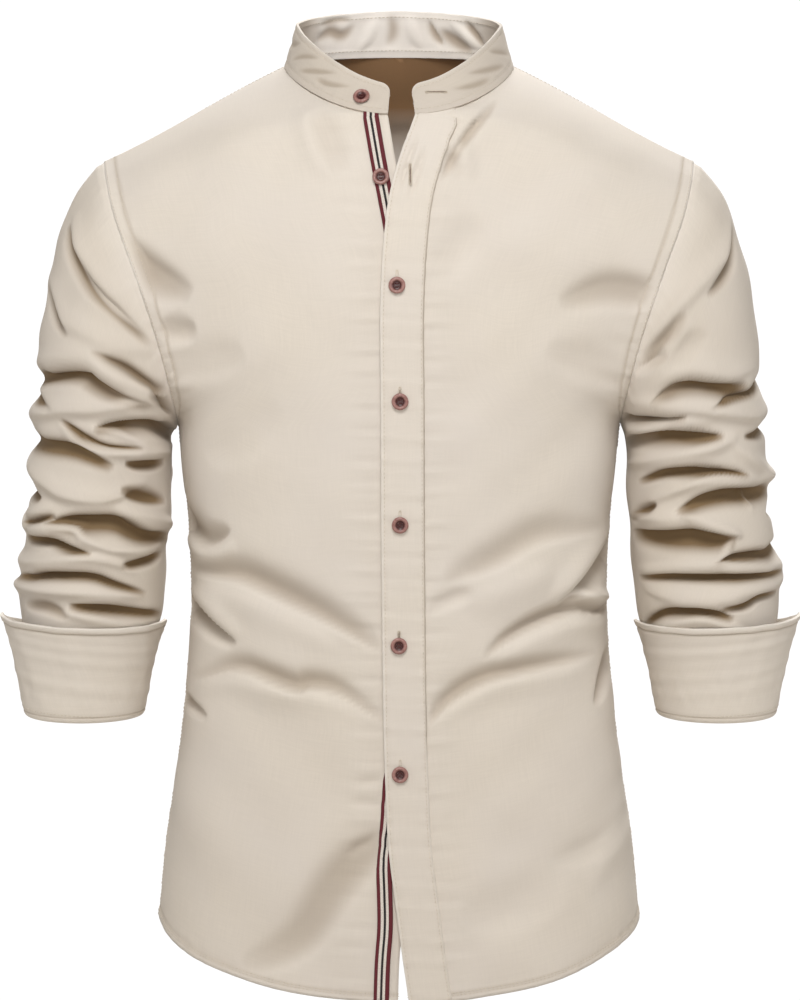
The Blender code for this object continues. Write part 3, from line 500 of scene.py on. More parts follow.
BACK_CREASES = in_metres((
    (-7.0, 12, 8, ((-166, -384), (-130, -392), (-80, -416), (-30, -420), (10, -410))),
    (3.5, 8, 10, ((-160, -400), (-110, -418), (-60, -434), (-10, -430))),
    (-6.5, 12, 7, ((14, -440), (60, -408), (100, -392), (166, -374))),
    (3.0, 6, 10, ((30, -452), (80, -420), (150, -398))),
    (-6.0, 10, 5, ((-164, -452), (-110, -464), (-60, -470), (-10, -468), (40, -460))),
    (-6.0, 9, 5, ((50, -498), (76, -470), (110, -452), (166, -430))),
    (-5.5, 3, 8, ((-170, -420), (-152, -428), (-132, -440))),
    (-4.5, 3, 8, ((132, -420), (150, -408), (170, -398))),
    (-3.5, 10, 10, ((-60, -388), (-20, -378), (30, -384))),
    (3.0, 12, 14, ((-188, -172), (-150, -224), (-122, -296))),
    (3.0, 12, 14, ((130, -300), (152, -228), (188, -168))),
    (-2.5, 14, 14, ((-120, -180), (-90, -240), (-84, -300))),
    (-2.5, 14, 14, ((88, -300), (98, -236), (126, -178))),
    (-2.5, 12, 18, ((-140, -640), (-90, -600), (-60, -560))),
    (-2.5, 12, 18, ((50, -560), (96, -610), (146, -640))),
    (-1.5, 8, 8, ((-60, -30), (-20, -42), (24, -40), (58, -28))),
))
print(len(RIGHT_FRONT_CREASES), len(LEFT_FRONT_CREASES), len(BACK_CREASES), "creases on the body")

# %% [markdown]
# The sleeves are too long for the arm and pushed up, so they stand in a pile of rings. On a sleeve a
# place is (angle, height): 0 degrees is the outer side, 90 the front, 180 against the body and 270 the
# back. The two sleeves are alike but not the same, and the back of each has a simpler pile of its own.

# %% Creases of the sleeves
DEGREE = radians(1) * SLEEVE_RADIUS
RIGHT_SLEEVE_CREASES = in_metres((
    (4.5, 6, 3.5, ((12, -112), (22, -127), (50, -157), (80, -184), (108, -204), (124, -222))),
    (-7.0, 2.5, 7, ((14, -122), (26, -133), (45, -152), (64, -169), (84, -186), (112, -212))),
    (-4.5, 3, 6, ((8, -168), (18, -178), (35, -192), (52, -206))),
    (3.5, 8, 5, ((-14, -160), (15, -172), (42, -192), (60, -200), (78, -208), (95, -215), (124, -216))),
    (-5.5, 3, 5, ((74, -217), (98, -226), (124, -242), (142, -250))),
    (4.5, 4, 5, ((74, -223), (96, -237), (117, -246), (136, -255))),
    (-7.0, 3, 6, ((122, -247), (140, -256), (162, -268))),
    (4.5, 8, 3, ((-30, -238), (8, -232), (50, -223), (72, -223), (86, -231), (106, -244))),
    (-7.5, 3, 11, ((-24, -246), (5, -240), (50, -231), (72, -231), (84, -238), (105, -250),
                   (128, -259))),
    (-4.5, 4, 5, ((-16, -254), (20, -257), (50, -264))),
    (5.5, 8, 4, ((-50, -280), (-15, -274), (7, -272), (54, -264), (89, -262), (125, -256),
                 (160, -266))),
    (-9.0, 2.5, 11, ((86, -276), (104, -270), (132, -271), (164, -280), (196, -292))),
    (3.0, 3, 3, ((80, -276), (104, -279), (124, -288), (136, -292))),
    (-5.5, 3, 5, ((56, -270), (80, -282), (98, -289), (126, -292))),
    (4.5, 4, 4, ((52, -274), (80, -287), (103, -294), (140, -297), (178, -302))),
    (-6.5, 3, 13, ((-40, -292), (10, -288), (42, -286), (67, -287), (83, -293), (104, -306))),
    (-5.0, 3, 7, ((112, -303), (134, -304), (158, -306))),
    (6.5, 9, 4, ((-40, -300), (-10, -306), (20, -314), (45, -321), (62, -328), (84, -332),
                 (104, -331), (138, -319))),
    (-6.0, 4, 8, ((-40, -322), (-10, -326), (16, -328), (40, -334))),
    (-5.0, 3, 6, ((16, -356), (30, -352), (58, -344))),
    (4.0, 5, 3, ((10, -350), (28, -346), (58, -338))),
    (-5.0, 5, 6, ((110, -324), (130, -330), (160, -338))),
    (4.5, 3, 5, ((106, -337), (146, -350), (186, -362))),
    (-9.5, 2.5, 15, ((52, -352), (66, -344), (88, -342), (113, -344), (138, -357), (176, -367))),
    (6.5, 4, 3.5, ((-50, -350), (-10, -352), (16, -358), (71, -354), (86, -363), (109, -371),
                   (136, -373), (190, -371))),
    (-7.5, 2.5, 8, ((18, -366), (40, -362), (56, -361), (74, -367), (92, -374))),
    (5.5, 4, 4, ((-30, -376), (12, -385), (68, -379), (88, -377), (110, -381), (130, -392))),
    (-5.0, 4, 6, ((114, -384), (138, -381), (164, -380))),
    (-7.0, 2.5, 8, ((10, -398), (36, -393), (49, -389), (68, -387), (94, -388), (114, -396),
                    (142, -408))),
    (-5.0, 5, 5, ((-60, -392), (-20, -395), (20, -398))),
    (6.0, 5, 4, ((-40, -408), (19, -405), (70, -404), (102, -406), (142, -411))),
    (-6.5, 2.5, 9, ((76, -414), (100, -413), (120, -416), (170, -428))),
    (3.5, 3, 4, ((70, -420), (95, -424), (128, -432))),
    (-3.5, 4, 6, ((30, -418), (56, -416), (76, -424))),
    (-7.0, 3, 11, ((196, -292), (240, -262), (300, -256), (338, -262))),
    (6.0, 7, 4, ((190, -272), (236, -248), (300, -242), (330, -246))),
    (6.0, 6, 4, ((186, -326), (240, -300), (300, -292), (350, -300))),
    (-8.0, 3, 12, ((200, -344), (246, -318), (296, -314), (344, -324))),
    (-6.0, 3, 8, ((190, -306), (232, -284), (270, -280))),
    (6.0, 5, 4, ((196, -368), (256, -344), (312, -344), (348, -352))),
    (-7.5, 3, 9, ((204, -384), (262, -362), (330, -366))),
    (5.5, 4, 4, ((196, -396), (262, -382), (330, -388))),
    (-6.5, 3, 8, ((210, -412), (276, -396), (340, -402))),
    (-5.0, 4, 10, ((200, -208), (236, -190), (284, -162))),
    (-5.0, 4, 9, ((210, -246), (256, -222), (306, -206))),
    (4.0, 8, 5, ((204, -232), (250, -206), (300, -190))),
), DEGREE)
LEFT_SLEEVE_CREASES = in_metres((
    (4.5, 6, 3.5, ((4, -114), (14, -128), (26, -141), (48, -155), (80, -181), (108, -208),
                   (126, -228))),
    (-5.0, 2.5, 6, ((8, -122), (22, -140), (38, -156), (60, -174))),
    (-3.8, 3, 7, ((80, -186), (96, -203), (112, -217), (124, -230))),
    (4.5, 3, 7, ((82, -192), (96, -210), (107, -220), (126, -234), (139, -246), (154, -260))),
    (-5.5, 3, 5, ((100, -216), (112, -223), (128, -232))),
    (-2.2, 6, 9, ((70, -200), (88, -213), (106, -230))),
    (4.5, 8, 3, ((20, -232), (58, -236), (74, -233), (90, -231), (106, -236), (124, -250))),
    (-7.5, 2.5, 12, ((40, -244), (58, -241), (74, -239), (90, -238), (106, -243), (126, -259))),
    (-6.5, 3, 6, ((-24, -236), (4, -243), (35, -248), (62, -252), (80, -262))),
    (5.5, 8, 4, ((-50, -262), (-10, -266), (6, -269), (34, -270), (76, -264), (103, -261),
                 (122, -259), (158, -257))),
    (-8.0, 2.5, 7, ((98, -267), (130, -268), (170, -270))),
    (4.5, 3, 3, ((78, -271), (108, -271), (126, -274), (164, -282))),
    (-8.0, 2.5, 12, ((70, -282), (90, -278), (112, -277), (140, -282), (178, -292))),
    (5.0, 5, 5, ((56, -282), (78, -290), (114, -299), (174, -311))),
    (-5.5, 4, 6, ((-36, -278), (-6, -279), (24, -282), (50, -284))),
    (4.5, 6, 5, ((-30, -326), (6, -319), (28, -310), (52, -297), (66, -284))),
    (6.0, 6, 3, ((-60, -308), (-26, -314), (6, -321), (36, -321))),
    (-7.0, 2.5, 9, ((48, -314), (66, -308), (80, -306), (99, -305), (124, -309), (150, -321))),
    (5.5, 4, 4, ((30, -320), (54, -317), (80, -315), (106, -323), (142, -338))),
    (-4.5, 4, 6, ((130, -336), (146, -343), (166, -352))),
    (-8.5, 2.5, 14, ((2, -330), (26, -325), (50, -322), (74, -322), (94, -328), (112, -341))),
    (2.2, 2, 2, ((44, -322), (47, -333), (46, -346))),
    (5.0, 5, 4, ((100, -345), (127, -348), (170, -350))),
    (5.5, 5, 3, ((60, -362), (72, -357), (90, -349), (110, -343))),
    (-10.0, 2.5, 17, ((66, -362), (84, -356), (102, -353), (127, -356), (166, -362))),
    (3.5, 3, 3, ((68, -362), (78, -372), (88, -384))),
    (-7.0, 2.5, 9, ((-20, -372), (20, -374), (48, -372), (72, -374), (88, -382))),
    (-4.5, 3, 5, ((-40, -344), (-6, -345), (28, -346))),
    (5.5, 4, 4, ((-50, -384), (7, -390), (62, -384), (86, -382), (121, -385), (162, -393))),
    (-7.0, 2.5, 8, ((4, -395), (34, -391), (54, -389), (89, -388), (122, -390), (158, -397))),
    (6.5, 8, 5, ((-40, -396), (7, -401), (58, -403), (82, -409), (114, -410), (154, -405))),
    (-5.0, 3, 5, ((22, -409), (50, -408), (65, -414), (84, -416))),
    (-6.5, 2.5, 8, ((74, -425), (89, -417), (106, -415), (134, -420), (162, -436))),
    (3.5, 3, 4, ((60, -437), (80, -430), (98, -425), (120, -429), (152, -440))),
    (-7.0, 3, 11, ((190, -300), (232, -262), (290, -250), (334, -258))),
    (6.0, 7, 4, ((190, -278), (236, -244), (290, -234), (330, -240))),
    (6.0, 6, 4, ((186, -332), (236, -296), (300, -288), (350, -296))),
    (-8.0, 3, 12, ((196, -348), (246, -312), (304, -308), (346, -318))),
    (6.0, 5, 4, ((196, -366), (256, -336), (312, -338), (348, -348))),
    (-6.0, 3, 7, ((214, -330), (252, -326), (284, -330))),
    (-7.5, 3, 9, ((204, -382), (262, -356), (334, -362))),
    (5.5, 4, 4, ((196, -396), (262, -376), (330, -384))),
    (-6.5, 3, 8, ((210, -414), (276, -392), (340, -400))),
    (-5.0, 4, 10, ((204, -214), (240, -186), (288, -158))),
    (-5.0, 4, 9, ((206, -252), (252, -218), (304, -204))),
    (4.0, 8, 5, ((202, -236), (248, -202), (300, -186))),
), DEGREE)
print(len(RIGHT_SLEEVE_CREASES), len(LEFT_SLEEVE_CREASES), "creases on the sleeves")

# %% [markdown]
# ## The shape of a front, a back and a sleeve
#
# These functions turn the tables into grids of points. A grid of a front has a row for each level from
# hem to shoulder, and each row runs from the side seam or armhole to the centre or the neckline.


# %% Panels of the body
def section_knots(sections):
    """Where each section lies between hem (0) and shoulder (1), by the length of the side."""
    steps = [
        abs(b.side_z - a.side_z) + 0.5 * abs(b.side_y - a.side_y)
        for a, b in zip(sections, sections[1:])
    ]
    run = np.concatenate(([0.0], np.cumsum(steps)))
    return run / run[-1]


def neckline(sections, side, centre_x, t):
    """Seam between a panel and the collar, from the centre (0) to the shoulder seam (1)."""
    neck = sections[NECK_SECTION]
    x, y, z = SIDE_NECK
    if neck.centre_y < 0:
        first_handle = (centre_x + side * 0.045, neck.centre_y - 0.003, neck.centre_z + 0.0015)
        last_handle = (side * x, -0.025, -0.006)
    else:
        first_handle = (side * 0.055, neck.centre_y, neck.centre_z)
        last_handle = (side * x, 0.045, 0.004)
    start = (centre_x, neck.centre_y, neck.centre_z)
    return bezier((start, first_handle, last_handle, (side * x, y, z)), t)


def front_edge(name, z):
    """x of a front's free edge at each height."""
    return smooth(z, [place.z for place in EDGES], [getattr(place, name) for place in EDGES])


def edge_at_neck(name):
    """x of a front's corner, where its free edge meets the collar seam."""
    return float(front_edge(name, np.array([FRONT_NECK_Z]))[0])


def outer_line(sections, side, v):
    """Side seam and armhole of a panel at shares v of its height, with a corner at the underarm."""
    knots = section_knots(sections)
    points = np.array([(side * s.side_x, s.side_y, s.side_z) for s in sections])
    k = UNDERARM_SECTION
    seam = smooth(v, knots[: k + 1], points[: k + 1])
    armhole = smooth(v, knots[k:], points[k:])
    return np.where((v < knots[k])[:, None], seam, armhole)


def inner_line(sections, side, v, edge):
    """Centre line or free edge, and then the neckline, of a panel at shares v of its height."""
    knots = section_knots(sections)
    corner = knots[NECK_SECTION]
    below = sections[: NECK_SECTION + 1]
    yz = smooth(np.minimum(v, corner), knots[: NECK_SECTION + 1], [(s.centre_y, s.centre_z) for s in below])
    x = front_edge(edge, yz[:, 1]) if edge else np.zeros(len(v))
    points = np.column_stack((x, yz))
    above = v > corner
    corner_x = edge_at_neck(edge) if edge else 0.0
    points[above] = neckline(sections, side, corner_x, (v[above] - corner) / (1 - corner))
    return points


def panel_base(sections, side, v, u, edge=None):
    """Smooth panel as a grid: v runs hem to shoulder, u runs side to centre. The corners at the underarm
    and the neckline belong to the edges only, so the cloth between the edges is evened out there."""
    u = np.asarray(u)
    knots = section_knots(sections)
    outer = outer_line(sections, side, v)
    inner = inner_line(sections, side, v, edge)
    turn = np.radians(smooth(v, knots, [s.turn for s in sections]))
    side_pull = smooth(v, knots, [s.side_pull for s in sections])
    centre_pull = smooth(v, knots, [s.centre_pull for s in sections])
    facing = -1.0 if sections is FRONT else 1.0
    length = np.linalg.norm(inner - outer, axis=1)
    rise = inner[:, 2] - outer[:, 2]
    level = ease((v - knots[NECK_SECTION]) / (1 - knots[NECK_SECTION]))
    leave = np.column_stack((-side * np.sin(turn), facing * np.cos(turn), rise / length))
    arrive = np.column_stack((np.full(len(v), side), np.zeros(len(v)), -level * rise / length))
    first = outer + leave * (side_pull * length)[:, None]
    last = inner + arrive * (centre_pull * length)[:, None]
    grid = np.array([bezier(points, u) for points in zip(outer, first, last, inner)])
    calm = evened(grid, max(2, len(v) // 14), 2)
    at_underarm = closeness(v - knots[UNDERARM_SECTION], 0.09)[:, None] * ease(u / 0.3)[None, :]
    between_edges = ease(u / 0.25) * ease((1 - u) / 0.25)
    at_neck = closeness(v - knots[NECK_SECTION], 0.07)[:, None] * between_edges[None, :]
    return grid + (calm - grid) * np.maximum(at_underarm, at_neck)[..., None]


def row_shares(sections, rows):
    """Shares of the height for the rows of a grid, with one row exactly at the corner of the neckline."""
    corner = section_knots(sections)[NECK_SECTION]
    above = max(3, round(rows * 0.2))
    return np.concatenate((np.linspace(0, corner, rows - above), np.linspace(corner, 1, above + 1)[1:]))


# %% Sleeves
def armhole_loop(side, angles):
    """Armhole at each angle: 0 is the shoulder tip, 90 the front, 180 the underarm and 270 the back."""
    start = section_knots(FRONT)[UNDERARM_SECTION]
    front = outer_line(FRONT, side, np.linspace(start, 1, 60))[::-1]
    start = section_knots(BACK)[UNDERARM_SECTION]
    back = outer_line(BACK, side, np.linspace(start, 1, 60))
    return np.where(
        (angles <= 180)[:, None],
        even_places(front, np.clip(angles / 180, 0, 1)),
        even_places(back, np.clip(angles / 180 - 1, 0, 1)),
    )


def sleeve_base(side, t, angles):
    """Smooth sleeve: a ring for each share t of its length, with no folds."""
    rings = np.array(SLEEVE)
    middle = (rings[:, 0:2] + rings[:, 2:4]) / 2
    run = np.concatenate(([0.0], np.cumsum(np.linalg.norm(np.diff(middle, axis=0), axis=1))))
    sections = smooth(t, run / run[-1], rings)
    around = np.radians(angles)
    sideways = WRIST_X[side] - middle[-1, 0]
    grid = []
    for outer_x, outer_z, inner_x, inner_z, half_depth, middle_y in sections:
        x = (outer_x + inner_x) / 2 + (outer_x - inner_x) / 2 * np.cos(around)
        z = (outer_z + inner_z) / 2 + (outer_z - inner_z) / 2 * np.cos(around)
        x = x + sideways * ease((-0.39 - z.mean()) / 0.08)
        grid.append(np.column_stack((side * x, middle_y - half_depth * np.sin(around), z)))
    grid = np.array(grid)
    away = armhole_loop(side, angles) - grid[0]
    return grid + away * (1 - ease(np.asarray(t) / ARMHOLE_FADE))[:, None, None]


# %% [markdown]
# ## Finishes
#
# The cloth is a plain weave cotton. Its threads are finer than a pixel, so the weave is a small bump on
# the cloth's own coordinates in metres, and what the eye sees from a distance is the slubs, which are
# thicker stretches of thread, a slow drift of tone, and lighter worn edges, with painted light on the back
# of the collar. A little sheen stands for the fuzz that brightens cloth where it turns away. Creases and
# grooves get painted shade: a warmer, darker colour mixed into the cloth's own.


# %% Helpers for finishes
def add_node(tree, kind, links=(), **values):
    """A shader node with its properties set and its named inputs filled from values or other nodes."""
    made = tree.nodes.new(kind)
    for name, value in values.items():
        setattr(made, name, value)
    for name, source in dict(links).items():
        if isinstance(source, bpy.types.NodeSocket):
            tree.links.new(source, made.inputs[name])
        else:
            made.inputs[name].default_value = source
    return made


def tint(tree, first, second, share, blend="MIX"):
    """Mixes two colours; each may be a socket or a colour."""
    made = tree.nodes.new("ShaderNodeMix")
    made.data_type, made.blend_type = "RGBA", blend
    for socket, source in ((made.inputs[0], share), (made.inputs[6], first), (made.inputs[7], second)):
        if isinstance(source, bpy.types.NodeSocket):
            tree.links.new(source, socket)
        else:
            socket.default_value = source
    return made.outputs[2]


def ranged(tree, source, low, high, start=0.0, end=1.0):
    """Turns a grey value from start to end into low to high."""
    made = add_node(tree, "ShaderNodeMapRange", {"Value": source, "From Min": start, "From Max": end,
                                                 "To Min": low, "To Max": high})
    return made.outputs["Result"]


def new_finish(name):
    """A material, its node tree and its main shader."""
    mat = bpy.data.materials.new(name)
    mat.use_nodes = True
    return mat, mat.node_tree, mat.node_tree.nodes["Principled BSDF"]


def noise(tree, place, scale, detail, **more):
    """Cloudy grey noise."""
    inputs = {"Vector": place, "Scale": scale, "Detail": detail, **more}
    return add_node(tree, "ShaderNodeTexNoise", inputs).outputs["Fac"]


def ribbed(tree, place, scale, direction, **more):
    """Even grey ribs, as of threads side by side."""
    inputs = {"Vector": place, "Scale": scale, **more}
    return add_node(tree, "ShaderNodeTexWave", inputs, bands_direction=direction).outputs["Fac"]


def relief(tree, height, strength, distance, **under):
    """Normals turned as a fine unevenness would turn them."""
    inputs = {"Height": height, "Strength": strength, "Distance": distance, **under}
    return add_node(tree, "ShaderNodeBump", inputs).outputs["Normal"]


def point_value(tree, name):
    """A value that is stored at each point of the piece."""
    return add_node(tree, "ShaderNodeAttribute", attribute_name=name).outputs["Fac"]


def object_place(tree):
    """The place of each point on its own object."""
    return add_node(tree, "ShaderNodeTexCoord").outputs["Object"]


# %% The cloth
WARP, WEFT = 700.0, 660.0
NECK_SHADE_FROM, NECK_SHADE_TO = -0.082, -0.034


def cloth_finish(name, colour, painted_shade_colour, neck_shade=None, painted_shade_name="painted_shade"):
    """Plain weave on the piece's own coordinates in metres. Painted shade in the creases: the cloth takes the
    shade colour as far as the point value `painted_shade_name` says. Inside the body the neck gets a warm
    painted shade, strongest just under the collar."""
    mat, tree, shader = new_finish(name)
    place = add_node(tree, "ShaderNodeUVMap", uv_map="cloth_metres").outputs["UV"]

    def stretched(across, along):
        """Places on which noise is drawn out into long thin slubs."""
        scaled = add_node(tree, "ShaderNodeMapping", {"Vector": place, "Scale": (across, along, 1)})
        return scaled.outputs["Vector"]

    warp = ribbed(tree, place, WARP, "X", Distortion=0.6, Detail=1.0)
    weft = ribbed(tree, place, WEFT, "Y", Distortion=0.6, Detail=1.0)
    weave = tint(tree, warp, weft, 1.0, "MULTIPLY")
    slub_up, slub_across = stretched(900, 45), stretched(40, 800)
    slubs = tint(tree, noise(tree, slub_up, 1.0, 2.0), noise(tree, slub_across, 1.0, 2.0), 0.5)
    drift = noise(tree, place, 7.0, 3.0)

    dim, bright = [0.965 * c for c in colour], [min(1.0, 1.03 * c) for c in colour]
    tone = tint(tree, (*dim, 1), (*bright, 1), ranged(tree, slubs, 0.0, 1.0, 0.32, 0.68))
    cool = (colour[0] * 0.985, colour[1] * 0.995, colour[2] * 1.05, 1)
    tone = tint(tree, tone, cool, ranged(tree, drift, 0.0, 0.55, 0.35, 0.68))
    # Painted shade: creases and grooves darkened and warmed by the tint, as far as the stored value says.
    tone = tint(tree, tone, (*painted_shade_colour, 1), point_value(tree, painted_shade_name), "MULTIPLY")
    # Painted shade inside the neck: a warm dark tint just below the collar.
    if neck_shade:
        height = add_node(tree, "ShaderNodeSeparateXYZ", {"Vector": object_place(tree)}).outputs["Z"]
        in_neck = ranged(tree, height, 0.0, 1.0, NECK_SHADE_FROM, NECK_SHADE_TO)
        tone = tint(tree, tone, (*neck_shade, 1), in_neck, "MULTIPLY")
    # Lighter towards worn edges, and over the back of the collar by painted light.
    wear_and_painted_light = ranged(tree, point_value(tree, "wear_and_painted_light"), 0.0, 0.16)
    tone = tint(tree, tone, (1.0, 0.97, 0.92, 1), wear_and_painted_light, "SCREEN")
    tree.links.new(tone, shader.inputs["Base Color"])
    tree.links.new(ranged(tree, slubs, 0.82, 0.95, 0.3, 0.7), shader.inputs["Roughness"])
    shader.inputs["Sheen Weight"].default_value = 0.12
    shader.inputs["Sheen Roughness"].default_value = 0.5
    shader.inputs["Sheen Tint"].default_value = (1.0, 0.98, 0.95, 1)
    shader.inputs["Specular IOR Level"].default_value = 0.22

    fine = relief(tree, weave, 0.06, 0.00015)
    tree.links.new(relief(tree, slubs, 0.09, 0.0005, Normal=fine), shader.inputs["Normal"])
    return mat


# The inside colour is lighter than the cloth's own: painted light where little light gets in.
STONE, STONE_INSIDE_WITH_PAINTED_LIGHT = (0.705, 0.647, 0.572), (0.82, 0.76, 0.685)
# Tints of painted shade: the first for creases and grooves, the second for the warm shade inside the neck.
PAINTED_SHADE_TINT, NECK_PAINTED_SHADE = (0.30, 0.22, 0.13), (0.345, 0.213, 0.117)
SHIRT_CLOTH = cloth_finish("stone_plain_weave", STONE, PAINTED_SHADE_TINT)
INSIDE_CLOTH = cloth_finish("stone_weave_inside", STONE_INSIDE_WITH_PAINTED_LIGHT, PAINTED_SHADE_TINT, neck_shade=NECK_PAINTED_SHADE)
print("finishes", SHIRT_CLOTH.name, INSIDE_CLOTH.name)


# %% [markdown]
# ## From a grid to a piece of cloth
#
# Each piece becomes a mesh of small quads. It carries a map in metres, so that the weave has the same
# size everywhere, and two values at each point: how much painted shade it gets in creases and grooves, and
# how much lighter it is, by wear near an edge and, on the back of the collar, by painted light. A Solidify
# modifier gives the sheet its thickness.


# %% Meshes
def run_along(grid, axis):
    """Distance of each point from the start of its line."""
    steps = np.linalg.norm(np.diff(grid, axis=axis), axis=2)
    start = np.zeros_like(np.take(steps, [0], axis=axis))
    return np.cumsum(np.concatenate((start, steps), axis=axis), axis=axis)


def mark(mesh, label, values):
    """Stores a value from 0 to 1 at each point of a mesh, for the finishes to read."""
    attribute = mesh.attributes.new(label, "FLOAT", "POINT")
    attribute.data.foreach_set("value", np.clip(values, 0, 1).astype(np.float32).ravel())


def cloth_piece(name, grid, outward, finish, thickness, closed=False, painted_shade=None, wear_and_painted_light=None, offset=-1.0,
                seam=None, inside=None):
    """A sheet of cloth from a grid of points, with the faces turned like the normals in `outward`. Where two
    halves were joined, `seam` is the column before the join, and the halves weld where they touch."""
    rows, columns = grid.shape[:2]
    points = np.concatenate((grid, grid[:, :1]), axis=1) if closed else grid
    across, along = run_along(points, 1), run_along(points, 0)
    index = np.arange(rows * columns).reshape(rows, columns)
    if closed:
        index = np.column_stack((index, index[:, 0]))
    wide = np.arange(points.shape[0] * points.shape[1]).reshape(points.shape[:2])

    def quads(numbers):
        """The four corners of each small square between the rows and columns."""
        return np.stack((numbers[:-1, :-1], numbers[:-1, 1:], numbers[1:, 1:], numbers[1:, :-1]), axis=-1)

    faces, map_faces = quads(index), quads(wide)
    if seam is not None:
        faces, map_faces = np.delete(faces, seam, axis=1), np.delete(map_faces, seam, axis=1)
    faces, map_faces = faces.reshape(-1, 4), map_faces.reshape(-1, 4)
    middle = rows // 2, columns // 3
    a, b, c = grid[middle], grid[middle[0], middle[1] + 1], grid[middle[0] + 1, middle[1] + 1]
    if np.cross(b - a, c - a) @ outward[middle] < 0:
        faces, map_faces = faces[:, ::-1], map_faces[:, ::-1]
    mesh = bpy.data.meshes.new(name)
    mesh.from_pydata(grid.reshape(-1, 3).tolist(), [], faces.tolist())
    uv = mesh.uv_layers.new(name="cloth_metres")
    metres = np.stack((across.ravel(), along.ravel()), axis=1)[map_faces.ravel()]
    uv.data.foreach_set("uv", metres.astype(np.float32).ravel())
    for label, values in (("painted_shade", painted_shade), ("wear_and_painted_light", wear_and_painted_light)):
        mark(mesh, label, np.zeros((rows, columns)) if values is None else values)
    if seam is not None:
        welded = bmesh.new()
        welded.from_mesh(mesh)
        bmesh.ops.remove_doubles(welded, verts=welded.verts, dist=1e-6)
        welded.to_mesh(mesh)
        welded.free()
    mesh.shade_smooth()
    mesh.materials.append(finish)
    piece = shown(name, mesh)
    wall = piece.modifiers.new("thickness", "SOLIDIFY")
    wall.thickness, wall.offset = thickness, offset
    if inside:
        mesh.materials.append(inside)
        wall.material_offset = 1
    print(f"{name}: {len(mesh.polygons)} quads, {sum(f.area for f in mesh.polygons):.4f} square metres")
    return piece


def turned_edges(piece):
    """Rounds the edges of a double layer, where the cloth is turned in."""
    rounded = piece.modifiers.new("turned_edges", "BEVEL")
    rounded.width, rounded.segments, rounded.limit_method = 0.0007, 2, "ANGLE"
    rounded.angle_limit = radians(55)


def inset_path(lines, normals, distance, lift=0.0002):
    """A path at one distance from the edge: `lines` start at the edge, and the path crosses all of them."""
    run = run_along(lines, 1)
    path, out = [], []
    for line, normal, steps in zip(lines, normals, run):
        spot = np.array([np.interp(distance, steps, line[:, k]) for k in range(3)])
        up = np.array([np.interp(distance, steps, normal[:, k]) for k in range(3)])
        up /= np.linalg.norm(up)
        path.append(spot + up * lift)
        out.append(up)
    return np.array(path), np.array(out)


stitch_paths = []
cloth_pieces = {}


def sew(path, out):
    """Keeps a path, and the way out of the cloth along it, for the stitches that are made later."""
    stitch_paths.append((path, out))


# %% [markdown]
# ## The two fronts
#
# A front is cut as one panel, with a curved shirt-tail hem. The hem is turned up and stitched twice, and
# the armhole seam is pressed towards the body and stitched down, which makes a slightly raised band with
# short puckers across it. The wearer's left front lies on top and lifts a little to pass over the other.

# %% Front panels
FRONT_ROWS, FRONT_COLUMNS = 300, 104
HEM_BAND, SEAM_BAND = 0.0070, 0.0095
HEM_STITCHES = (HEM_BAND - 0.0003, HEM_BAND - 0.0022)
SEAM_STITCHES, EDGE_STITCHES = SEAM_BAND - 0.0004, 0.0016
HEM_RISE, SEAM_RISE, STITCH_DEPTH = 0.0007, 0.0008, 0.0007
HEM_PUCKER, SEAM_PUCKER, SEAM_DRAG, SIDE_PUCKER = 0.0004, 0.0011, 0.0008, 0.0004
# The three shade strengths below are painted shade: in stitched grooves, in the body's creases, and over the
# lower body.
STITCH_SHADE = 0.32
BODY_FALL, BODY_RISE, BODY_SHADE = 1.35, 1.2, 0.48
LOW_SHADE = 0.085
OPENING_Z = -0.067
SHOULDER_TUCK, SHOULDER_DROP = 0.0024, 0.0007


def bands_and_puckers(grid, v, sections, seed, side):
    """Raised hem and armhole bands, and the puckers that the stitching draws up."""
    from_hem, from_side = run_along(grid, 0), run_along(grid, 1)
    along_side = from_hem[:, :1]
    above_underarm = v - section_knots(sections)[UNDERARM_SECTION]
    in_armhole = ease(above_underarm / 0.04)[:, None]
    lower = 1 - 0.8 * ease((above_underarm - 0.10) / 0.16)[:, None]
    hem = HEM_RISE * (1 - ease((from_hem - HEM_BAND) / 0.0012))
    hem += HEM_PUCKER * ripples(grid[..., 0], 0.011, seed) * closeness(from_hem - 0.004, 0.008)
    seam = SEAM_RISE * (1 - ease((from_side - SEAM_BAND) / 0.0014)) * in_armhole
    side_seed = seed + 5 * side
    pucker = ripples(along_side, 0.0070, side_seed + 1) * closeness(from_side - 0.0055, 0.0045)
    drag = ripples(along_side, 0.026, side_seed + 2) * closeness(from_side - 0.018, 0.014)
    seam += (SEAM_PUCKER * pucker + SEAM_DRAG * drag) * ease(from_side / 0.004) * in_armhole * lower
    side_pucker = ripples(along_side, 0.012, side_seed + 3)
    sewn_side = SIDE_PUCKER * side_pucker * closeness(from_side, 0.006) * (1 - in_armhole)
    wear_and_painted_light = np.maximum(closeness(from_hem, 0.0015), closeness(from_side, 0.0015))
    # The stitched grooves sink the cloth and get painted shade.
    groove = closeness(from_hem - HEM_BAND, 0.0017)
    groove = np.maximum(groove, in_armhole * closeness(from_side - SEAM_BAND, 0.0015))
    shift = (hem + seam + sewn_side - STITCH_DEPTH * groove) * ease((1 - v) / 0.05)[:, None]
    return shift, wear_and_painted_light, STITCH_SHADE * groove


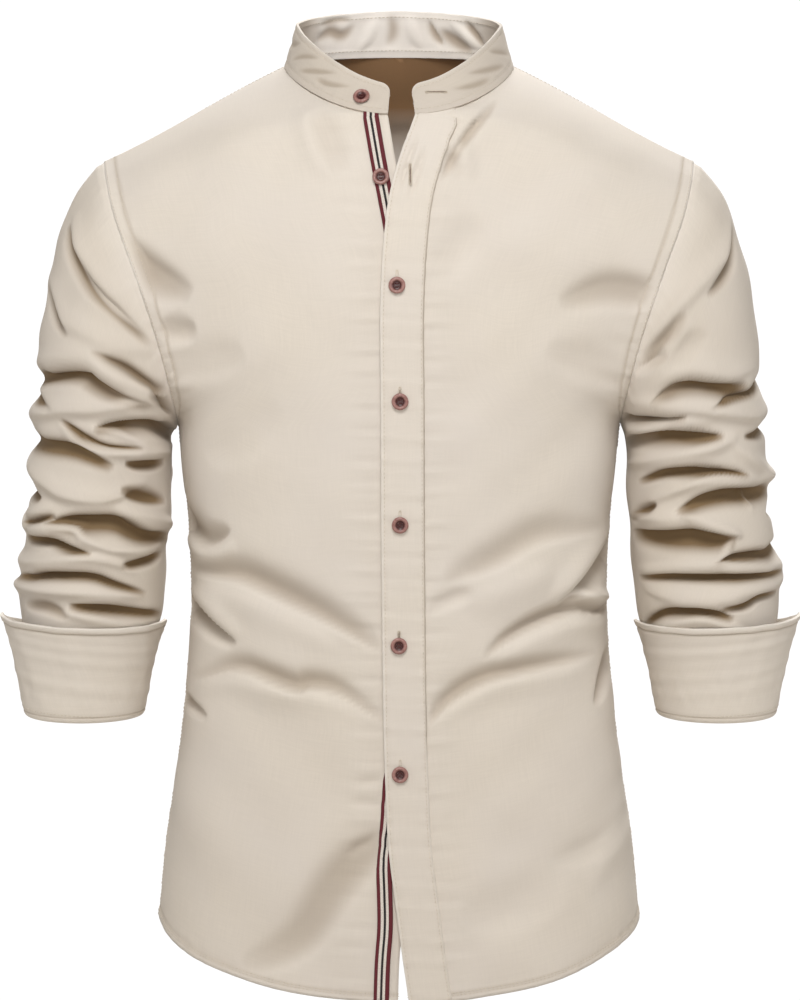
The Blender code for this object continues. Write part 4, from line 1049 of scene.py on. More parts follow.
def body_creases(grid, creases, fade):
    """The creases of a body panel as grids of shift, slide and painted shade, faded where the panel is held
    flat.
    """
    shift, slide, shade = crease_relief(grid[..., [0, 2]].reshape(-1, 2), creases)
    shift = shift.reshape(fade.shape) * fade
    shift = np.where(shift < 0, BODY_FALL, BODY_RISE) * shift
    slide = slide.reshape(*fade.shape, 2) * fade[..., None]
    return shift, slide, BODY_SHADE * shade.reshape(fade.shape) * fade


def low_shade(z):
    """Painted shade over the lower body, starting above the waist."""
    return LOW_SHADE * ease((-0.30 - z) / 0.30)


def overlap_lift(grid, edge_x, side):
    """How far the upper front stands out to pass over the lower one and the tape."""
    inside = (grid[..., 0] - edge_x) * side
    below_opening = 1 - ease((grid[..., 2] - OPENING_Z) / 0.022)
    return OVERLAP_LIFT * (1 - ease((inside - 0.030) / 0.035)) * below_opening


def front_grid(name, v, u, detail=True):
    """Outer face of a front, the normals of its smooth form, its painted shade and its worn edges."""
    side = 1 if name == "left_front" else -1
    creases = LEFT_FRONT_CREASES if side > 0 else RIGHT_FRONT_CREASES
    grid = panel_base(FRONT, side, v, u, name)
    normals = grid_normals(grid, BODY_MIDDLE)
    edge_x = front_edge(name, grid[..., 2])
    from_edge = (grid[..., 0] - edge_x) * side
    calm = ease(u / 0.05)[None, :] * ease((1 - v) / 0.06)[:, None]
    fade_from, fade_over = (0.031, 0.008) if side > 0 else (0.019, 0.009)
    fade = calm * ease((from_edge - fade_from) / fade_over)
    shift, slide, painted_shade = body_creases(grid, creases, fade)
    places = grid[..., [0, 2]]
    shift += rumple(places, 11 + side, 0.070, 0.0008) * ease((from_edge - 0.02) / 0.05) * calm
    wear_and_painted_light = np.zeros_like(shift)
    if detail:
        extra, wear_and_painted_light, groove = bands_and_puckers(grid, v, FRONT, 20 + side, side)
        painted_shade = np.maximum(np.maximum(painted_shade, groove), low_shade(grid[..., 2]))
        drawn = ripples(grid[..., 2], 0.013, 40 + side) * closeness(from_edge - 0.036, 0.016)
        shift += extra + 0.0007 * drawn * calm
    if side > 0:
        shift += overlap_lift(grid, edge_x, side)
    return slid(grid, slide) + normals * shift[..., None], normals, painted_shade, wear_and_painted_light


def tucked_under(grid, normals, *values):
    """The same grid with one more row at the shoulder, which runs on under the edge of the back."""
    onward = grid[-1] - grid[-2]
    onward /= np.linalg.norm(onward, axis=1, keepdims=True)
    row = grid[-1] + onward * SHOULDER_TUCK - normals[-1] * SHOULDER_DROP
    return [np.concatenate((grid, row[None]))] + [np.concatenate((value, value[-1:])) for value in values]


# %% Both fronts
fronts = {}
for name in ("left_front", "right_front"):
    v = row_shares(FRONT, FRONT_ROWS)
    u = np.linspace(0, 1, FRONT_COLUMNS + 1)
    grid, normals, painted_shade, wear_and_painted_light = front_grid(name, v, u)
    sheet, sheet_painted_shade, sheet_wear_and_painted_light = tucked_under(grid, normals, painted_shade, wear_and_painted_light)
    cloth_pieces[name] = cloth_piece(name + "_cloth", sheet, normals, SHIRT_CLOTH, CLOTH, painted_shade=sheet_painted_shade,
                                     wear_and_painted_light=sheet_wear_and_painted_light, inside=INSIDE_CLOTH)
    fronts[name] = (grid, grid_normals(grid, BODY_MIDDLE), v)

# %% Front seam paths
for grid, normals, v in fronts.values():
    columns = grid.transpose(1, 0, 2), normals.transpose(1, 0, 2)
    for distance in HEM_STITCHES:
        sew(*inset_path(*columns, distance))
    armhole = v > section_knots(FRONT)[UNDERARM_SECTION] + 0.01
    for distance in (SEAM_STITCHES, EDGE_STITCHES):
        sew(*inset_path(grid[armhole], normals[armhole], distance))
    sew(*inset_path(grid[~armhole], normals[~armhole], EDGE_STITCHES))
print(len(stitch_paths), "seam paths so far")

# %% [markdown]
# ## The back
#
# The back is one panel from side seam to side seam. It is made as two halves that share the centre line
# and are joined into one grid, with the same hem and armhole bands.

# %% Back panel
BACK_ROWS, BACK_COLUMNS = 220, 68
BACK_SIDE_STITCHES, SHOULDER_STITCHES = 0.0060, 0.0020


def back_grid(v, u):
    """Outer face of the whole back, with its normals, its painted shade and worn edges, and both halves."""
    halves = []
    for side in (-1, 1):
        half = panel_base(BACK, side, v, u)
        normals = grid_normals(half, BODY_MIDDLE)
        normals[v <= section_knots(BACK)[NECK_SECTION], -1, 0] = 0.0
        normals /= np.linalg.norm(normals, axis=2, keepdims=True)
        calm = ease(u / 0.05)[None, :] * ease((1 - v) / 0.06)[:, None]
        shift, slide, painted_shade = body_creases(half, BACK_CREASES, calm)
        shift += rumple(half[..., [0, 2]], 31, 0.070, 0.0008) * calm
        extra, wear_and_painted_light, groove = bands_and_puckers(half, v, BACK, 50, side)
        painted_shade = np.maximum(np.maximum(painted_shade, groove), low_shade(half[..., 2]))
        moved = slid(half, slide) + normals * (shift + extra)[..., None]
        halves.append((moved, normals, painted_shade, wear_and_painted_light))
    centre = v <= section_knots(BACK)[NECK_SECTION] + 1e-9
    for a, b in zip(*halves):
        a[centre, -1] = b[centre, -1] = (a[centre, -1] + b[centre, -1]) / 2
    joined = [np.concatenate((a, b[:, ::-1]), axis=1) for a, b in zip(*halves)]
    return joined, halves


v = row_shares(BACK, BACK_ROWS)
u = np.linspace(0, 1, BACK_COLUMNS + 1)
(grid, normals, painted_shade, wear_and_painted_light), halves = back_grid(v, u)
cloth_pieces["back"] = cloth_piece("back_cloth", grid, normals, SHIRT_CLOTH, CLOTH, painted_shade=painted_shade,
                                   wear_and_painted_light=wear_and_painted_light, seam=BACK_COLUMNS, inside=INSIDE_CLOTH)
fine_normals = grid_normals(grid, BODY_MIDDLE)
for distance in HEM_STITCHES:
    sew(*inset_path(grid.transpose(1, 0, 2), fine_normals.transpose(1, 0, 2), distance))
for half, half_normals, _, _ in halves:
    armhole = v > section_knots(BACK)[UNDERARM_SECTION] + 0.01
    sew(*inset_path(half[armhole], half_normals[armhole], SEAM_STITCHES))
    sew(*inset_path(half[~armhole], half_normals[~armhole], BACK_SIDE_STITCHES))
    shoulder = half[::-1].transpose(1, 0, 2), half_normals[::-1].transpose(1, 0, 2)
    sew(*inset_path(*shoulder, SHOULDER_STITCHES))

# %% [markdown]
# ## Buttonhole strip and striped tape
#
# The strip is a band of the same cloth sewn along the upper front's edge, and the tape is a ready-woven
# ribbon on the lower front, which shows where the fronts part. Both follow a front at a fixed distance
# from its free edge, so they are read off that front's surface instead of being drawn again.


# %% Bands along the front edges
# A band is read off the inner part of a front, in columns that crowd together at the free edge.
BAND_COLUMNS, BAND_SHARE = 121, 0.35
BAND_STEPS, BAND_TUCK = 6, 0.0010


def edge_strip(name, v, reaches, veer=None):
    """Places on a front at the given distances from its free edge, a row for each v, with the normals. The
    band may veer away from the edge: `veer` gives how far at each height."""
    fine = 1 - np.linspace(0, 1, BAND_COLUMNS) ** 1.5 * BAND_SHARE
    grid = front_grid(name, v, fine, detail=False)[0]
    normals = grid_normals(grid, BODY_MIDDLE)
    rows, row_normals = [], []
    for row, normal in zip(grid, normals):
        reach = np.concatenate(([0.0], np.cumsum(np.linalg.norm(np.diff(row, axis=0), axis=1))))
        at = reaches + (veer(row[0, 2]) if veer else 0.0)
        rows.append(np.stack([np.interp(at, reach, row[:, k]) for k in range(3)], axis=1))
        row_normals.append(np.stack([np.interp(at, reach, normal[:, k]) for k in range(3)], axis=1))
    return np.array(rows), np.array(row_normals)


def up_to_seam(rows, normals, side, name, at):
    """Carries a band on from the corner of the front up to the collar seam, and a little under the collar."""
    seam_line = neckline(FRONT, side, edge_at_neck(name), np.linspace(0, 1, 200))
    length = np.linalg.norm(np.diff(seam_line, axis=0), axis=1).sum()
    top = even_places(seam_line, at / length) + (0, 0, BAND_TUCK)
    steps = np.linspace(0, 1, BAND_STEPS + 1)[1:, None, None]
    rows = np.concatenate((rows, rows[-1:] + (top - rows[-1])[None] * steps))
    return rows, np.concatenate((normals, normals[-1:].repeat(BAND_STEPS, axis=0)))


def strip_rows():
    """Shares of the height for the rows of a band, from the hem to the corner of the neckline."""
    v = row_shares(FRONT, FRONT_ROWS)
    return v[v <= section_knots(FRONT)[NECK_SECTION] + 1e-9]


# %% Buttonhole strip
STRIP_CLOTH, STRIP_STAND, STRIP_SUNK = 0.0010, 0.0013, 0.0006
EDGE_ROW, INNER_ROW = 0.0025, 0.0020
STRIP_CREASES = in_metres((
    (-1.8, 2, 3, ((0, -92), (6, -72), (14, -50))),
    (-1.6, 2, 4, ((7, -98), (13, -76), (20, -58))),
    (1.2, 2, 3, ((4, -90), (10, -70), (17, -54))),
))

reaches = np.linspace(0.0, STRIP_WIDTH, 23)
rows, normals = up_to_seam(*edge_strip("left_front", strip_rows(), reaches), 1, "left_front", reaches)
down = run_along(rows, 0)
across = np.abs(reaches[None, :] / STRIP_WIDTH - 0.5) * 2
pucker = 0.00075 * ripples(down + 0.10 * reaches[None, :], 0.014, 61) * (0.35 + 0.65 * across**2)
pucker += 0.00025 * ripples(down - 0.2 * reaches[None, :], 0.006, 62) * across**3
stitched = closeness(reaches - EDGE_ROW, 0.0009) + closeness(reaches - STRIP_WIDTH + INNER_ROW, 0.0009)
creased, _, crease_shade = crease_relief(rows[..., [0, 2]].reshape(-1, 2), STRIP_CREASES)
under_collar = ease((rows[..., 2] - FRONT_NECK_Z + 0.004) / 0.012)
stand = STRIP_STAND - STRIP_SUNK * under_collar
face = rows + normals * (stand + pucker * (1 - under_collar) - 0.00035 * stitched[None, :]
                         + creased.reshape(down.shape))[..., None]
wear_and_painted_light = np.broadcast_to(closeness(reaches, 0.0012), face.shape[:2])
# Painted shade: a dark line beside the strip's inner edge, stopping above the hem and a little fainter near
# the collar, and shade in the strip's creases.
line_shows = (1 - ease((-rows[..., 2] - 0.505) / 0.03)) * (1 - 0.2 * ease((rows[..., 2] + 0.150) / 0.05))
painted_shade = 0.6 * closeness(STRIP_WIDTH - reaches, 0.0008) * line_shows
painted_shade = np.maximum(np.maximum(painted_shade, 3.0 * crease_shade.reshape(down.shape)), low_shade(rows[..., 2]))
cloth_pieces["front_placket"] = cloth_piece("front_placket_cloth", face, normals, SHIRT_CLOTH, STRIP_CLOTH,
                                            painted_shade=painted_shade, wear_and_painted_light=wear_and_painted_light)
strip_face, strip_normals = face, normals
sew(*inset_path(face, normals, EDGE_ROW))
sew(*inset_path(face[:, ::-1], normals[:, ::-1], INNER_ROW))

# %% Striped tape
TAPE_MAROON, TAPE_DARK, TAPE_WHITE = (0.115, 0.006, 0.014), (0.013, 0.008, 0.009), (0.74, 0.68, 0.62)
TAPE_CLOTH, TAPE_STAND, TAPE_VEER = 0.0008, 0.0012, 0.0065
TAPE_STRIPES = (
    (0.0, TAPE_MAROON), (0.22, TAPE_WHITE), (0.41, TAPE_DARK), (0.56, TAPE_WHITE), (0.73, TAPE_MAROON),
)


def tape_finish(width):
    """Woven stripes across the tape's own map, with fine ribs along it."""
    mat, tree, shader = new_finish("striped_woven_tape")
    place = add_node(tree, "ShaderNodeUVMap", uv_map="cloth_metres").outputs["UV"]
    apart = add_node(tree, "ShaderNodeSeparateXYZ", {"Vector": place})
    share = ranged(tree, apart.outputs["X"], 0.0, 1.0, 0.0, width)
    ramp = tree.nodes.new("ShaderNodeValToRGB")
    ramp.color_ramp.interpolation = "CONSTANT"
    for k, (at, colour) in enumerate(TAPE_STRIPES):
        stop = ramp.color_ramp.elements[k] if k < 2 else ramp.color_ramp.elements.new(at)
        stop.position, stop.color = at, (*colour, 1)
    tree.links.new(share, ramp.inputs["Fac"])
    fuzz = noise(tree, place, 1400.0, 2.0)
    shade = ranged(tree, fuzz, 0.75, 1.15, 0.3, 0.7)
    grey = add_node(tree, "ShaderNodeCombineColor", {"Red": shade, "Green": shade, "Blue": shade})
    tone = tint(tree, ramp.outputs["Color"], grey.outputs["Color"], 1.0, "MULTIPLY")
    tree.links.new(tone, shader.inputs["Base Color"])
    tree.links.new(ranged(tree, fuzz, 0.70, 0.90), shader.inputs["Roughness"])
    shader.inputs["Sheen Weight"].default_value = 0.15
    ribs = ribbed(tree, place, 480.0, "Y", Distortion=0.5)
    tree.links.new(relief(tree, ribs, 0.5, 0.00025), shader.inputs["Normal"])
    return mat


def tape_veer(z):
    """The tape swings a few millimetres away from the edge where the fronts part below the last button."""
    return TAPE_VEER * ease((-z - 0.500) / 0.050) * (1 - ease((-z - 0.600) / 0.070))


reaches = np.linspace(TAPE_INSET, TAPE_INSET + TAPE_WIDTH, 11)
strip = edge_strip("right_front", strip_rows(), reaches, tape_veer)
rows, normals = up_to_seam(*strip, -1, "right_front", reaches)
down = run_along(rows, 0)
face = rows + normals * (TAPE_STAND + 0.00022 * ripples(down, 0.012, 71))[..., None]
ribbon = tape_finish(TAPE_WIDTH)
cloth_pieces["striped_tape"] = cloth_piece("striped_tape_ribbon", face[:, ::-1], normals, ribbon, TAPE_CLOTH)
tape_face, tape_normals = face, normals

# %% [markdown]
# ## The band collar
#
# A band collar is a straight strip with rounded ends, sewn to the neckline and standing up. It is two
# layers, so it is thicker than the body, holds its curve, and has a row of stitches just inside its edge.


# %% Form of the collar
def collar_loop(shares):
    """Seam of the collar, from the end on the right front, round the back, to the end on the left front."""
    t = np.linspace(0, 1, 40)
    right = neckline(FRONT, -1, edge_at_neck("right_front"), t)
    back_right = neckline(BACK, -1, 0.0, t)[::-1]
    back_left = neckline(BACK, 1, 0.0, t)
    left = neckline(FRONT, 1, edge_at_neck("left_front"), t)[::-1]
    line = np.concatenate((right, back_right[1:], back_left[1:], left[1:]))
    return even_places(line, shares), np.linalg.norm(np.diff(line, axis=0), axis=1).sum()


def collar_grid(shares, levels):
    """Middle surface of the collar: a row for each level between seam (0) and top edge (1)."""
    base, length = collar_loop(shares)
    place = np.abs(2 * np.asarray(shares) - 1)
    lean = np.radians(smooth(place, (0.0, 0.5, 1.0), COLLAR_LEAN))
    height = smooth(place, (0.0, 0.5, 1.0), COLLAR_HEIGHT)
    from_end = np.minimum((1 - place) / 2 * length, COLLAR_CORNER)
    height = height - (COLLAR_CORNER - np.sqrt(COLLAR_CORNER**2 - (COLLAR_CORNER - from_end) ** 2))
    inward = -base[:, :2] / np.linalg.norm(base[:, :2], axis=1, keepdims=True)
    rising = np.column_stack((inward * np.sin(lean)[:, None], np.cos(lean)))
    base[:, 2] += smooth(place, (0.0, 0.5, 1.0), COLLAR_RAISE)
    return np.array([base + rising * (height * level)[:, None] for level in levels])


# %% Creases of the collar
# A place on the collar is (distance from the middle of the back, height above the seam), in millimetres.
COLLAR_CREASES = in_metres((
    (2.2, 4, 5, ((-76, 12), (-58, 21), (-46, 18), (-34, 26))),
    (1.8, 3, 3, ((-70, 27), (-52, 31), (-36, 29))),
    (-1.6, 4, 4, ((-34, 5), (-24, 15), (-17, 30))),
    (1.6, 4, 5, ((-9, 6), (-4, 19), (-7, 33))),
    (-1.6, 4, 5, ((9, 31), (13, 18), (21, 6))),
    (2.4, 1.5, 4, ((25, 29), (31, 18), (38, 8))),
    (2.4, 4, 5, ((33, 22), (48, 13), (66, 3))),
    (-1.6, 3, 4, ((44, 29), (56, 19), (72, 8))),
    (2.4, 3, 5, ((56, 31), (66, 21), (78, 8))),
    (-1.3, 3, 4, ((-216, 20), (-198, 13), (-182, 12))),
    (-1.4, 2.5, 4, ((-196, 26), (-176, 16), (-158, 7))),
    (-1.2, 3, 3, ((-172, 28), (-154, 20), (-138, 9))),
    (-1.2, 3, 4, ((-140, 27), (-124, 20), (-106, 18))),
    (-1.4, 2.5, 4, ((150, 8), (172, 15), (196, 24))),
    (-1.2, 3, 3, ((128, 10), (146, 20), (160, 28))),
    (-1.3, 3, 4, ((178, 8), (198, 11), (218, 17))),
))
COLLAR_SHADE = 0.22
COLLAR_ROWS, STITCHED_LEVELS = 24, (0.875, 0.125)
# The facing's colour is lighter than the cloth's own: painted light on the inside of the band. Its tint is
# painted shade.
FACING_STONE_WITH_PAINTED_LIGHT, FACING_PAINTED_SHADE = (0.91, 0.845, 0.765), (0.34, 0.25, 0.16)
print(len(COLLAR_CREASES), "creases on the collar")

# %% Collar
_, collar_length = collar_loop((0.0, 1.0))
near = np.array((0.0, 0.0003, 0.0008, 0.0016, 0.0026, 0.0040, 0.0056, 0.0072, COLLAR_CORNER)) / collar_length
shares = np.concatenate((near, np.linspace(near[-1], 1 - near[-1], 232)[1:-1], 1 - near[::-1]))
levels = np.concatenate(([-0.04], np.linspace(0, 1, COLLAR_ROWS + 1)))
grid = collar_grid(shares, levels)
normals = grid_normals(grid, NECK_MIDDLE)
run = run_along(grid, 1)
edge_lines = sum(closeness(levels - level, 0.035) for level in STITCHED_LEVELS)
waves = 0.0007 * ripples(run, 0.045, 81) * (np.maximum(levels, 0.0)[:, None] ** 1.5)
waves += 0.00035 * ripples(run + 0.3 * grid[..., 2], 0.009, 82) * (1 - levels[:, None]) ** 2
waves = waves - 0.00045 * edge_lines[:, None] * ease(np.minimum(run, run[:, -1:] - run) / 0.008)
from_middle = run - run[:, -1:] / 2
places = np.stack((from_middle, np.broadcast_to(levels[:, None] * 0.034, run.shape)), axis=2)
creased = crease_relief(places.reshape(-1, 2), COLLAR_CREASES)[0].reshape(run.shape)
creased = creased * ease((1 - levels) / 0.12)[:, None]
at_front = ease((np.abs(from_middle) - 0.085) / 0.03)
# Painted shade on the front of the collar and in the falls of its creases.
painted_shade = at_front * COLLAR_SHADE + 0.3 * ease(-creased / 0.0013)
# Inside the band: painted shade in its creases, and in the dark corners where it rounds towards the front.
in_the_round = ease((np.abs(from_middle) - 0.058) / 0.030)
inside_painted_shade = np.maximum(0.85 * ease(creased / 0.0022), 0.6 * in_the_round)
grid = grid + normals * (waves + creased)[..., None]
# Wear lightens the top edge; over the back of the collar the lighter colour is painted light.
wear_and_painted_light = np.maximum(closeness(1 - levels, 0.05)[:, None], 1 - at_front)
facing = cloth_finish("collar_facing", FACING_STONE_WITH_PAINTED_LIGHT, FACING_PAINTED_SHADE, painted_shade_name="inside_painted_shade")
collar = cloth_piece("collar_band_cloth", grid, normals, SHIRT_CLOTH, DOUBLE_CLOTH, painted_shade=painted_shade,
                     wear_and_painted_light=wear_and_painted_light, offset=0.0, inside=facing)
mark(collar.data, "inside_painted_shade", inside_painted_shade)
turned_edges(collar)
cloth_pieces["collar_band"] = collar
collar_face = grid + normals * DOUBLE_CLOTH / 2
collar_normals = grid_normals(collar_face, NECK_MIDDLE)
for level in STITCHED_LEVELS:
    row = int(round(level * COLLAR_ROWS)) + 1
    keep = slice(6, -6) if level > 0.5 else slice(4, -4)
    sew(collar_face[row, keep] + normals[row, keep] * 0.0001, normals[row, keep])
    sew(grid[row, keep] - normals[row, keep] * (DOUBLE_CLOTH / 2 + 0.0001), -normals[row, keep])

# %% [markdown]
# ## Sleeves
#
# Each sleeve is one tube, sewn into the armhole. The pile of creases from the table is laid on it, and
# the top of the tube gets the gathered ripples that ease it into the armhole.

# %% Sleeves
SLEEVE_RINGS, SLEEVE_SIDES = 264, 148
# The last two are strengths of painted shade: over the whole sleeve, and extra in the pockets of its creases.
SLEEVE_FALL, SLEEVE_HEAD, SLEEVE_SHADE, SLEEVE_POCKET_SHADE = 1.45, 0.0024, 0.13, 0.75


def sleeve_grid(side):
    """Outer face of a sleeve, its normals, its painted shade and its worn edges."""
    t = np.linspace(0, 1, SLEEVE_RINGS)
    angles = np.arange(SLEEVE_SIDES) * 360 / SLEEVE_SIDES
    grid = sleeve_base(side, t, angles)
    normals = tube_normals(grid)
    creases = LEFT_SLEEVE_CREASES if side > 0 else RIGHT_SLEEVE_CREASES
    shift, slide, painted_shade = np.zeros(grid.shape[:2]), np.zeros((*grid.shape[:2], 2)), np.zeros(grid.shape[:2])
    for turn in (0, -360):
        round_tube = np.broadcast_to(np.radians(angles + turn) * SLEEVE_RADIUS, grid.shape[:2])
        places = np.stack((round_tube, grid[..., 2]), axis=2)
        pushed, moved, shade = crease_relief(places.reshape(-1, 2), creases)
        shift += pushed.reshape(shift.shape)
        slide += moved.reshape(slide.shape)
        painted_shade = np.maximum(painted_shade, shade.reshape(shift.shape))
    fade = (ease(t / 0.06) * ease((1 - t) / 0.16))[:, None]
    shift = np.where(shift < 0, SLEEVE_FALL, 1.0) * shift * fade
    slide *= fade[..., None]
    # Painted shade in the creases, stronger in the pockets below the sleeve head.
    painted_shade = np.minimum(1.0, painted_shade * (1 + SLEEVE_POCKET_SHADE * ease((t - 0.24) / 0.10))[:, None]) * fade
    side_on = ease((np.abs(np.cos(np.radians(angles))) - 0.80) / 0.18)[None, :]
    shift += (evened(shift, 4, 1.8) - shift) * side_on
    slide *= (1 - side_on)[..., None]
    # A light painted shade over the sleeve, fading out at the armhole.
    painted_shade = painted_shade + SLEEVE_SHADE * (1 - painted_shade) * ease(t / 0.06)[:, None]
    turned = np.minimum(angles, 360 - angles)
    head = ease(t / 0.012) * (1 - ease((t - 0.05) / 0.30))
    shift += SLEEVE_HEAD * head[:, None] * (1 - ease(turned / 80))[None, :]
    sideways = np.sin(np.radians(angles))[None, :] * SLEEVE_RADIUS + grid[..., 0] * 0.3
    shift += rumple(np.stack((sideways, grid[..., 2]), axis=2), 90 + side, 0.045, 0.0008) * fade
    down = run_along(grid, 0)
    round_seam = run_along(np.concatenate((grid, grid[:, :1]), axis=1), 1)[:1, :-1]
    round_seam = np.broadcast_to(round_seam, down.shape)
    shift += 0.0007 * ripples(round_seam, 0.010, 95 + side) * closeness(down - 0.004, 0.010)
    wear_and_painted_light = closeness(down, 0.0015)
    return slid(grid, slide, closed=True) + normals * shift[..., None], painted_shade, wear_and_painted_light


# %% Both sleeves
for name, side in (("left_sleeve", 1), ("right_sleeve", -1)):
    grid, painted_shade, wear_and_painted_light = sleeve_grid(side)
    normals = tube_normals(grid)
    cloth_pieces[name] = cloth_piece(name + "_cloth", grid, normals, SHIRT_CLOTH, CLOTH, closed=True,
                                     painted_shade=painted_shade, wear_and_painted_light=wear_and_painted_light)

# %% [markdown]
# ## Turned-back cuffs
#
# The cuff is a double band, sewn to the sleeve end and folded back outside it, so the raw edge is hidden
# and a wide rim stands open at the top. It is one surface that runs down, round the turn and up again.


# %% Form of the cuffs
def cuff_grid(side, rows, angles):
    """Middle surface of a turned-back cuff: one ring for each row of sizes."""
    around = np.radians(angles)
    grid = []
    for half_width, half_depth, z in rows:
        up = (z - CUFF[0].z) / (CUFF[-1].z - CUFF[0].z)
        x = side * (WRIST_X[side] + half_width * np.cos(around))
        y = WRIST_Y - half_depth * np.sin(around)
        drop = CUFF_BACK_DROP * np.clip(up, 0, 1) ** 1.5 * np.maximum(0.0, -np.sin(around)) ** 0.85
        grid.append(np.column_stack((x, y, z + CUFF_TILT * max(up, 0.0) * np.cos(around) - drop)))
    return np.array(grid)


# %% Both cuffs
# Rows of the cuff's table, counted from the sleeve's end: the cloth turns at row 3, has a pressed line just
# above the turn, and shows from row 5 up to its rim at row 8.
CUFF_SIDES = 120
TURN_ROW, LINE_ROW, SHOWN_ROW, RIM_ROW = 3, 4.55, 5, 8
RIM_BAND, RIM_GROOVE, LINE_DEPTH = 0.0042, 0.0054, 0.0006
CUFF_STITCHES = (0.0050, 0.0755)
fine = np.concatenate((np.linspace(0, SHOWN_ROW, 26), np.linspace(SHOWN_ROW, RIM_ROW, 48)[1:]))
cuff_rows = smooth(fine, np.arange(len(CUFF), dtype=float), np.array(CUFF))
for name, side in (("left_cuff", 1), ("right_cuff", -1)):
    angles = np.arange(CUFF_SIDES) * 360 / CUFF_SIDES
    grid = cuff_grid(side, cuff_rows, angles)
    normals = tube_normals(grid)
    up = ((fine - SHOWN_ROW) / (RIM_ROW - SHOWN_ROW))[:, None]
    run = (np.radians(angles) * 0.055)[None, :]
    visible = ease(up / 0.15)
    waves = 0.0006 * ripples(run + 0.020 * up, 0.034, 101 + side) * visible
    waves = waves + 0.0005 * ripples(run - 0.030 * up, 0.010, 103 + side) * closeness(up, 0.35) * visible
    waves = waves + 0.0004 * ripples(up * 0.085 + 0.1 * run, 0.020, 105 + side) * visible
    down = run_along(grid[::-1], 0)[::-1]
    waves = waves + LINE_DEPTH * (1 - ease((down - RIM_BAND) / 0.0010))
    waves = waves - LINE_DEPTH * closeness(down - RIM_GROOVE, 0.0009)
    waves = waves - LINE_DEPTH * closeness(fine - LINE_ROW, 0.10)[:, None]
    grid = grid + normals * waves[..., None]
    wear_and_painted_light = closeness(down, 0.0015) + 0.6 * closeness(fine - TURN_ROW, 0.8)[:, None]
    # Painted shade in the groove under the rim and along the pressed line.
    painted_shade = 0.45 * closeness(down - RIM_GROOVE, 0.0010) + 0.5 * closeness(fine - LINE_ROW, 0.12)[:, None]
    piece = cloth_piece(name + "_cloth", grid, normals, SHIRT_CLOTH, DOUBLE_CLOTH, closed=True, painted_shade=painted_shade,
                        wear_and_painted_light=wear_and_painted_light, offset=0.0)
    turned_edges(piece)
    cloth_pieces[name] = piece
    outer = grid + normals * DOUBLE_CLOTH / 2
    lines = outer[::-1].transpose(1, 0, 2), normals[::-1].transpose(1, 0, 2)
    for distance in CUFF_STITCHES:
        path, out = inset_path(*lines, distance, 0.0001)
        sew(np.concatenate((path, path[:1])), np.concatenate((out, out[:1])))

# %% [markdown]
# ## Buttons
#
# Each button is turned from a plastic blank: a rolled rim, a dished middle and four holes. The profile is
# spun round the middle, the holes are cut with a Boolean, and thread from hole to hole holds it down.

# %% Finishes of button and thread
BUTTON_RADIUS, BUTTON_THICKNESS, BUTTON_LIFT = 0.0064, 0.0028, 0.0003
HOLE_OUT, HOLE_RADIUS = 0.00125, 0.00062
ROSE_DARK, ROSE_LIGHT, ROSE_DISH = (0.23, 0.105, 0.092, 1), (0.38, 0.20, 0.175, 1), (0.055, 0.010, 0.010, 1)


def button_finish():
    """Satin plastic in dusty rose, darker towards the dished middle, with a faint swirl."""
    mat, tree, shader = new_finish("dusty_rose_button")
    place = object_place(tree)
    swirl = noise(tree, place, 260.0, 3.0, Distortion=1.5)
    rim = tint(tree, ROSE_DARK, ROSE_LIGHT, ranged(tree, swirl, 0.0, 1.0, 0.3, 0.7))
    tree.links.new(tint(tree, rim, ROSE_DISH, point_value(tree, "dish")), shader.inputs["Base Color"])
    tree.links.new(ranged(tree, swirl, 0.28, 0.42), shader.inputs["Roughness"])
    scratches = noise(tree, place, 1800.0, 2.0)
    tree.links.new(relief(tree, scratches, 0.15, 0.0001), shader.inputs["Normal"])
    return mat


def thread_finish(name, colour):
    """Twisted thread: a fine slanting bump on the object's own place, and uneven tone."""
    mat, tree, shader = new_finish(name)
    place = object_place(tree)
    uneven = ranged(tree, noise(tree, place, 500.0, 2.0), 0.0, 1.0, 0.3, 0.7)
    dark, light = [0.85 * c for c in colour], [min(1.0, 1.12 * c) for c in colour]
    tree.links.new(tint(tree, (*dark, 1), (*light, 1), uneven), shader.inputs["Base Color"])
    shader.inputs["Roughness"].default_value = 0.75
    shader.inputs["Sheen Weight"].default_value = 0.1
    twist = ribbed(tree, place, 700.0, "DIAGONAL", Distortion=1.0)
    tree.links.new(relief(tree, twist, 0.4, 0.0001), shader.inputs["Normal"])
    return mat


BUTTON_PLASTIC = button_finish()
CLOTH_THREAD = thread_finish("stone_thread", (0.60, 0.53, 0.43))
# This dark thread's finish is also painted shade on the sheets in the buttonhole slits.
DARK_THREAD_AND_SLIT_SHADE = thread_finish("maroon_thread_and_slit_shade", (0.085, 0.018, 0.016))
print("finishes", BUTTON_PLASTIC.name, CLOTH_THREAD.name, DARK_THREAD_AND_SLIT_SHADE.name)


# %% Turning a button
def mesh_from(bm, name):
    """A mesh from a bmesh, which is freed."""
    mesh = bpy.data.meshes.new(name)
    bm.to_mesh(mesh)
    bm.free()
    return mesh


def as_made(piece):
    """The mesh that a piece's modifiers make of it. The piece itself is removed."""
    bpy.context.view_layer.update()
    made = bpy.data.meshes.new_from_object(piece.evaluated_get(bpy.context.evaluated_depsgraph_get()))
    bpy.data.objects.remove(piece)
    return made


def rod(bm, radius, length, sides, place):
    """Adds a round rod to a bmesh."""
    bmesh.ops.create_cone(bm, cap_ends=True, segments=sides, radius1=radius, radius2=radius, depth=length,
                          matrix=place)


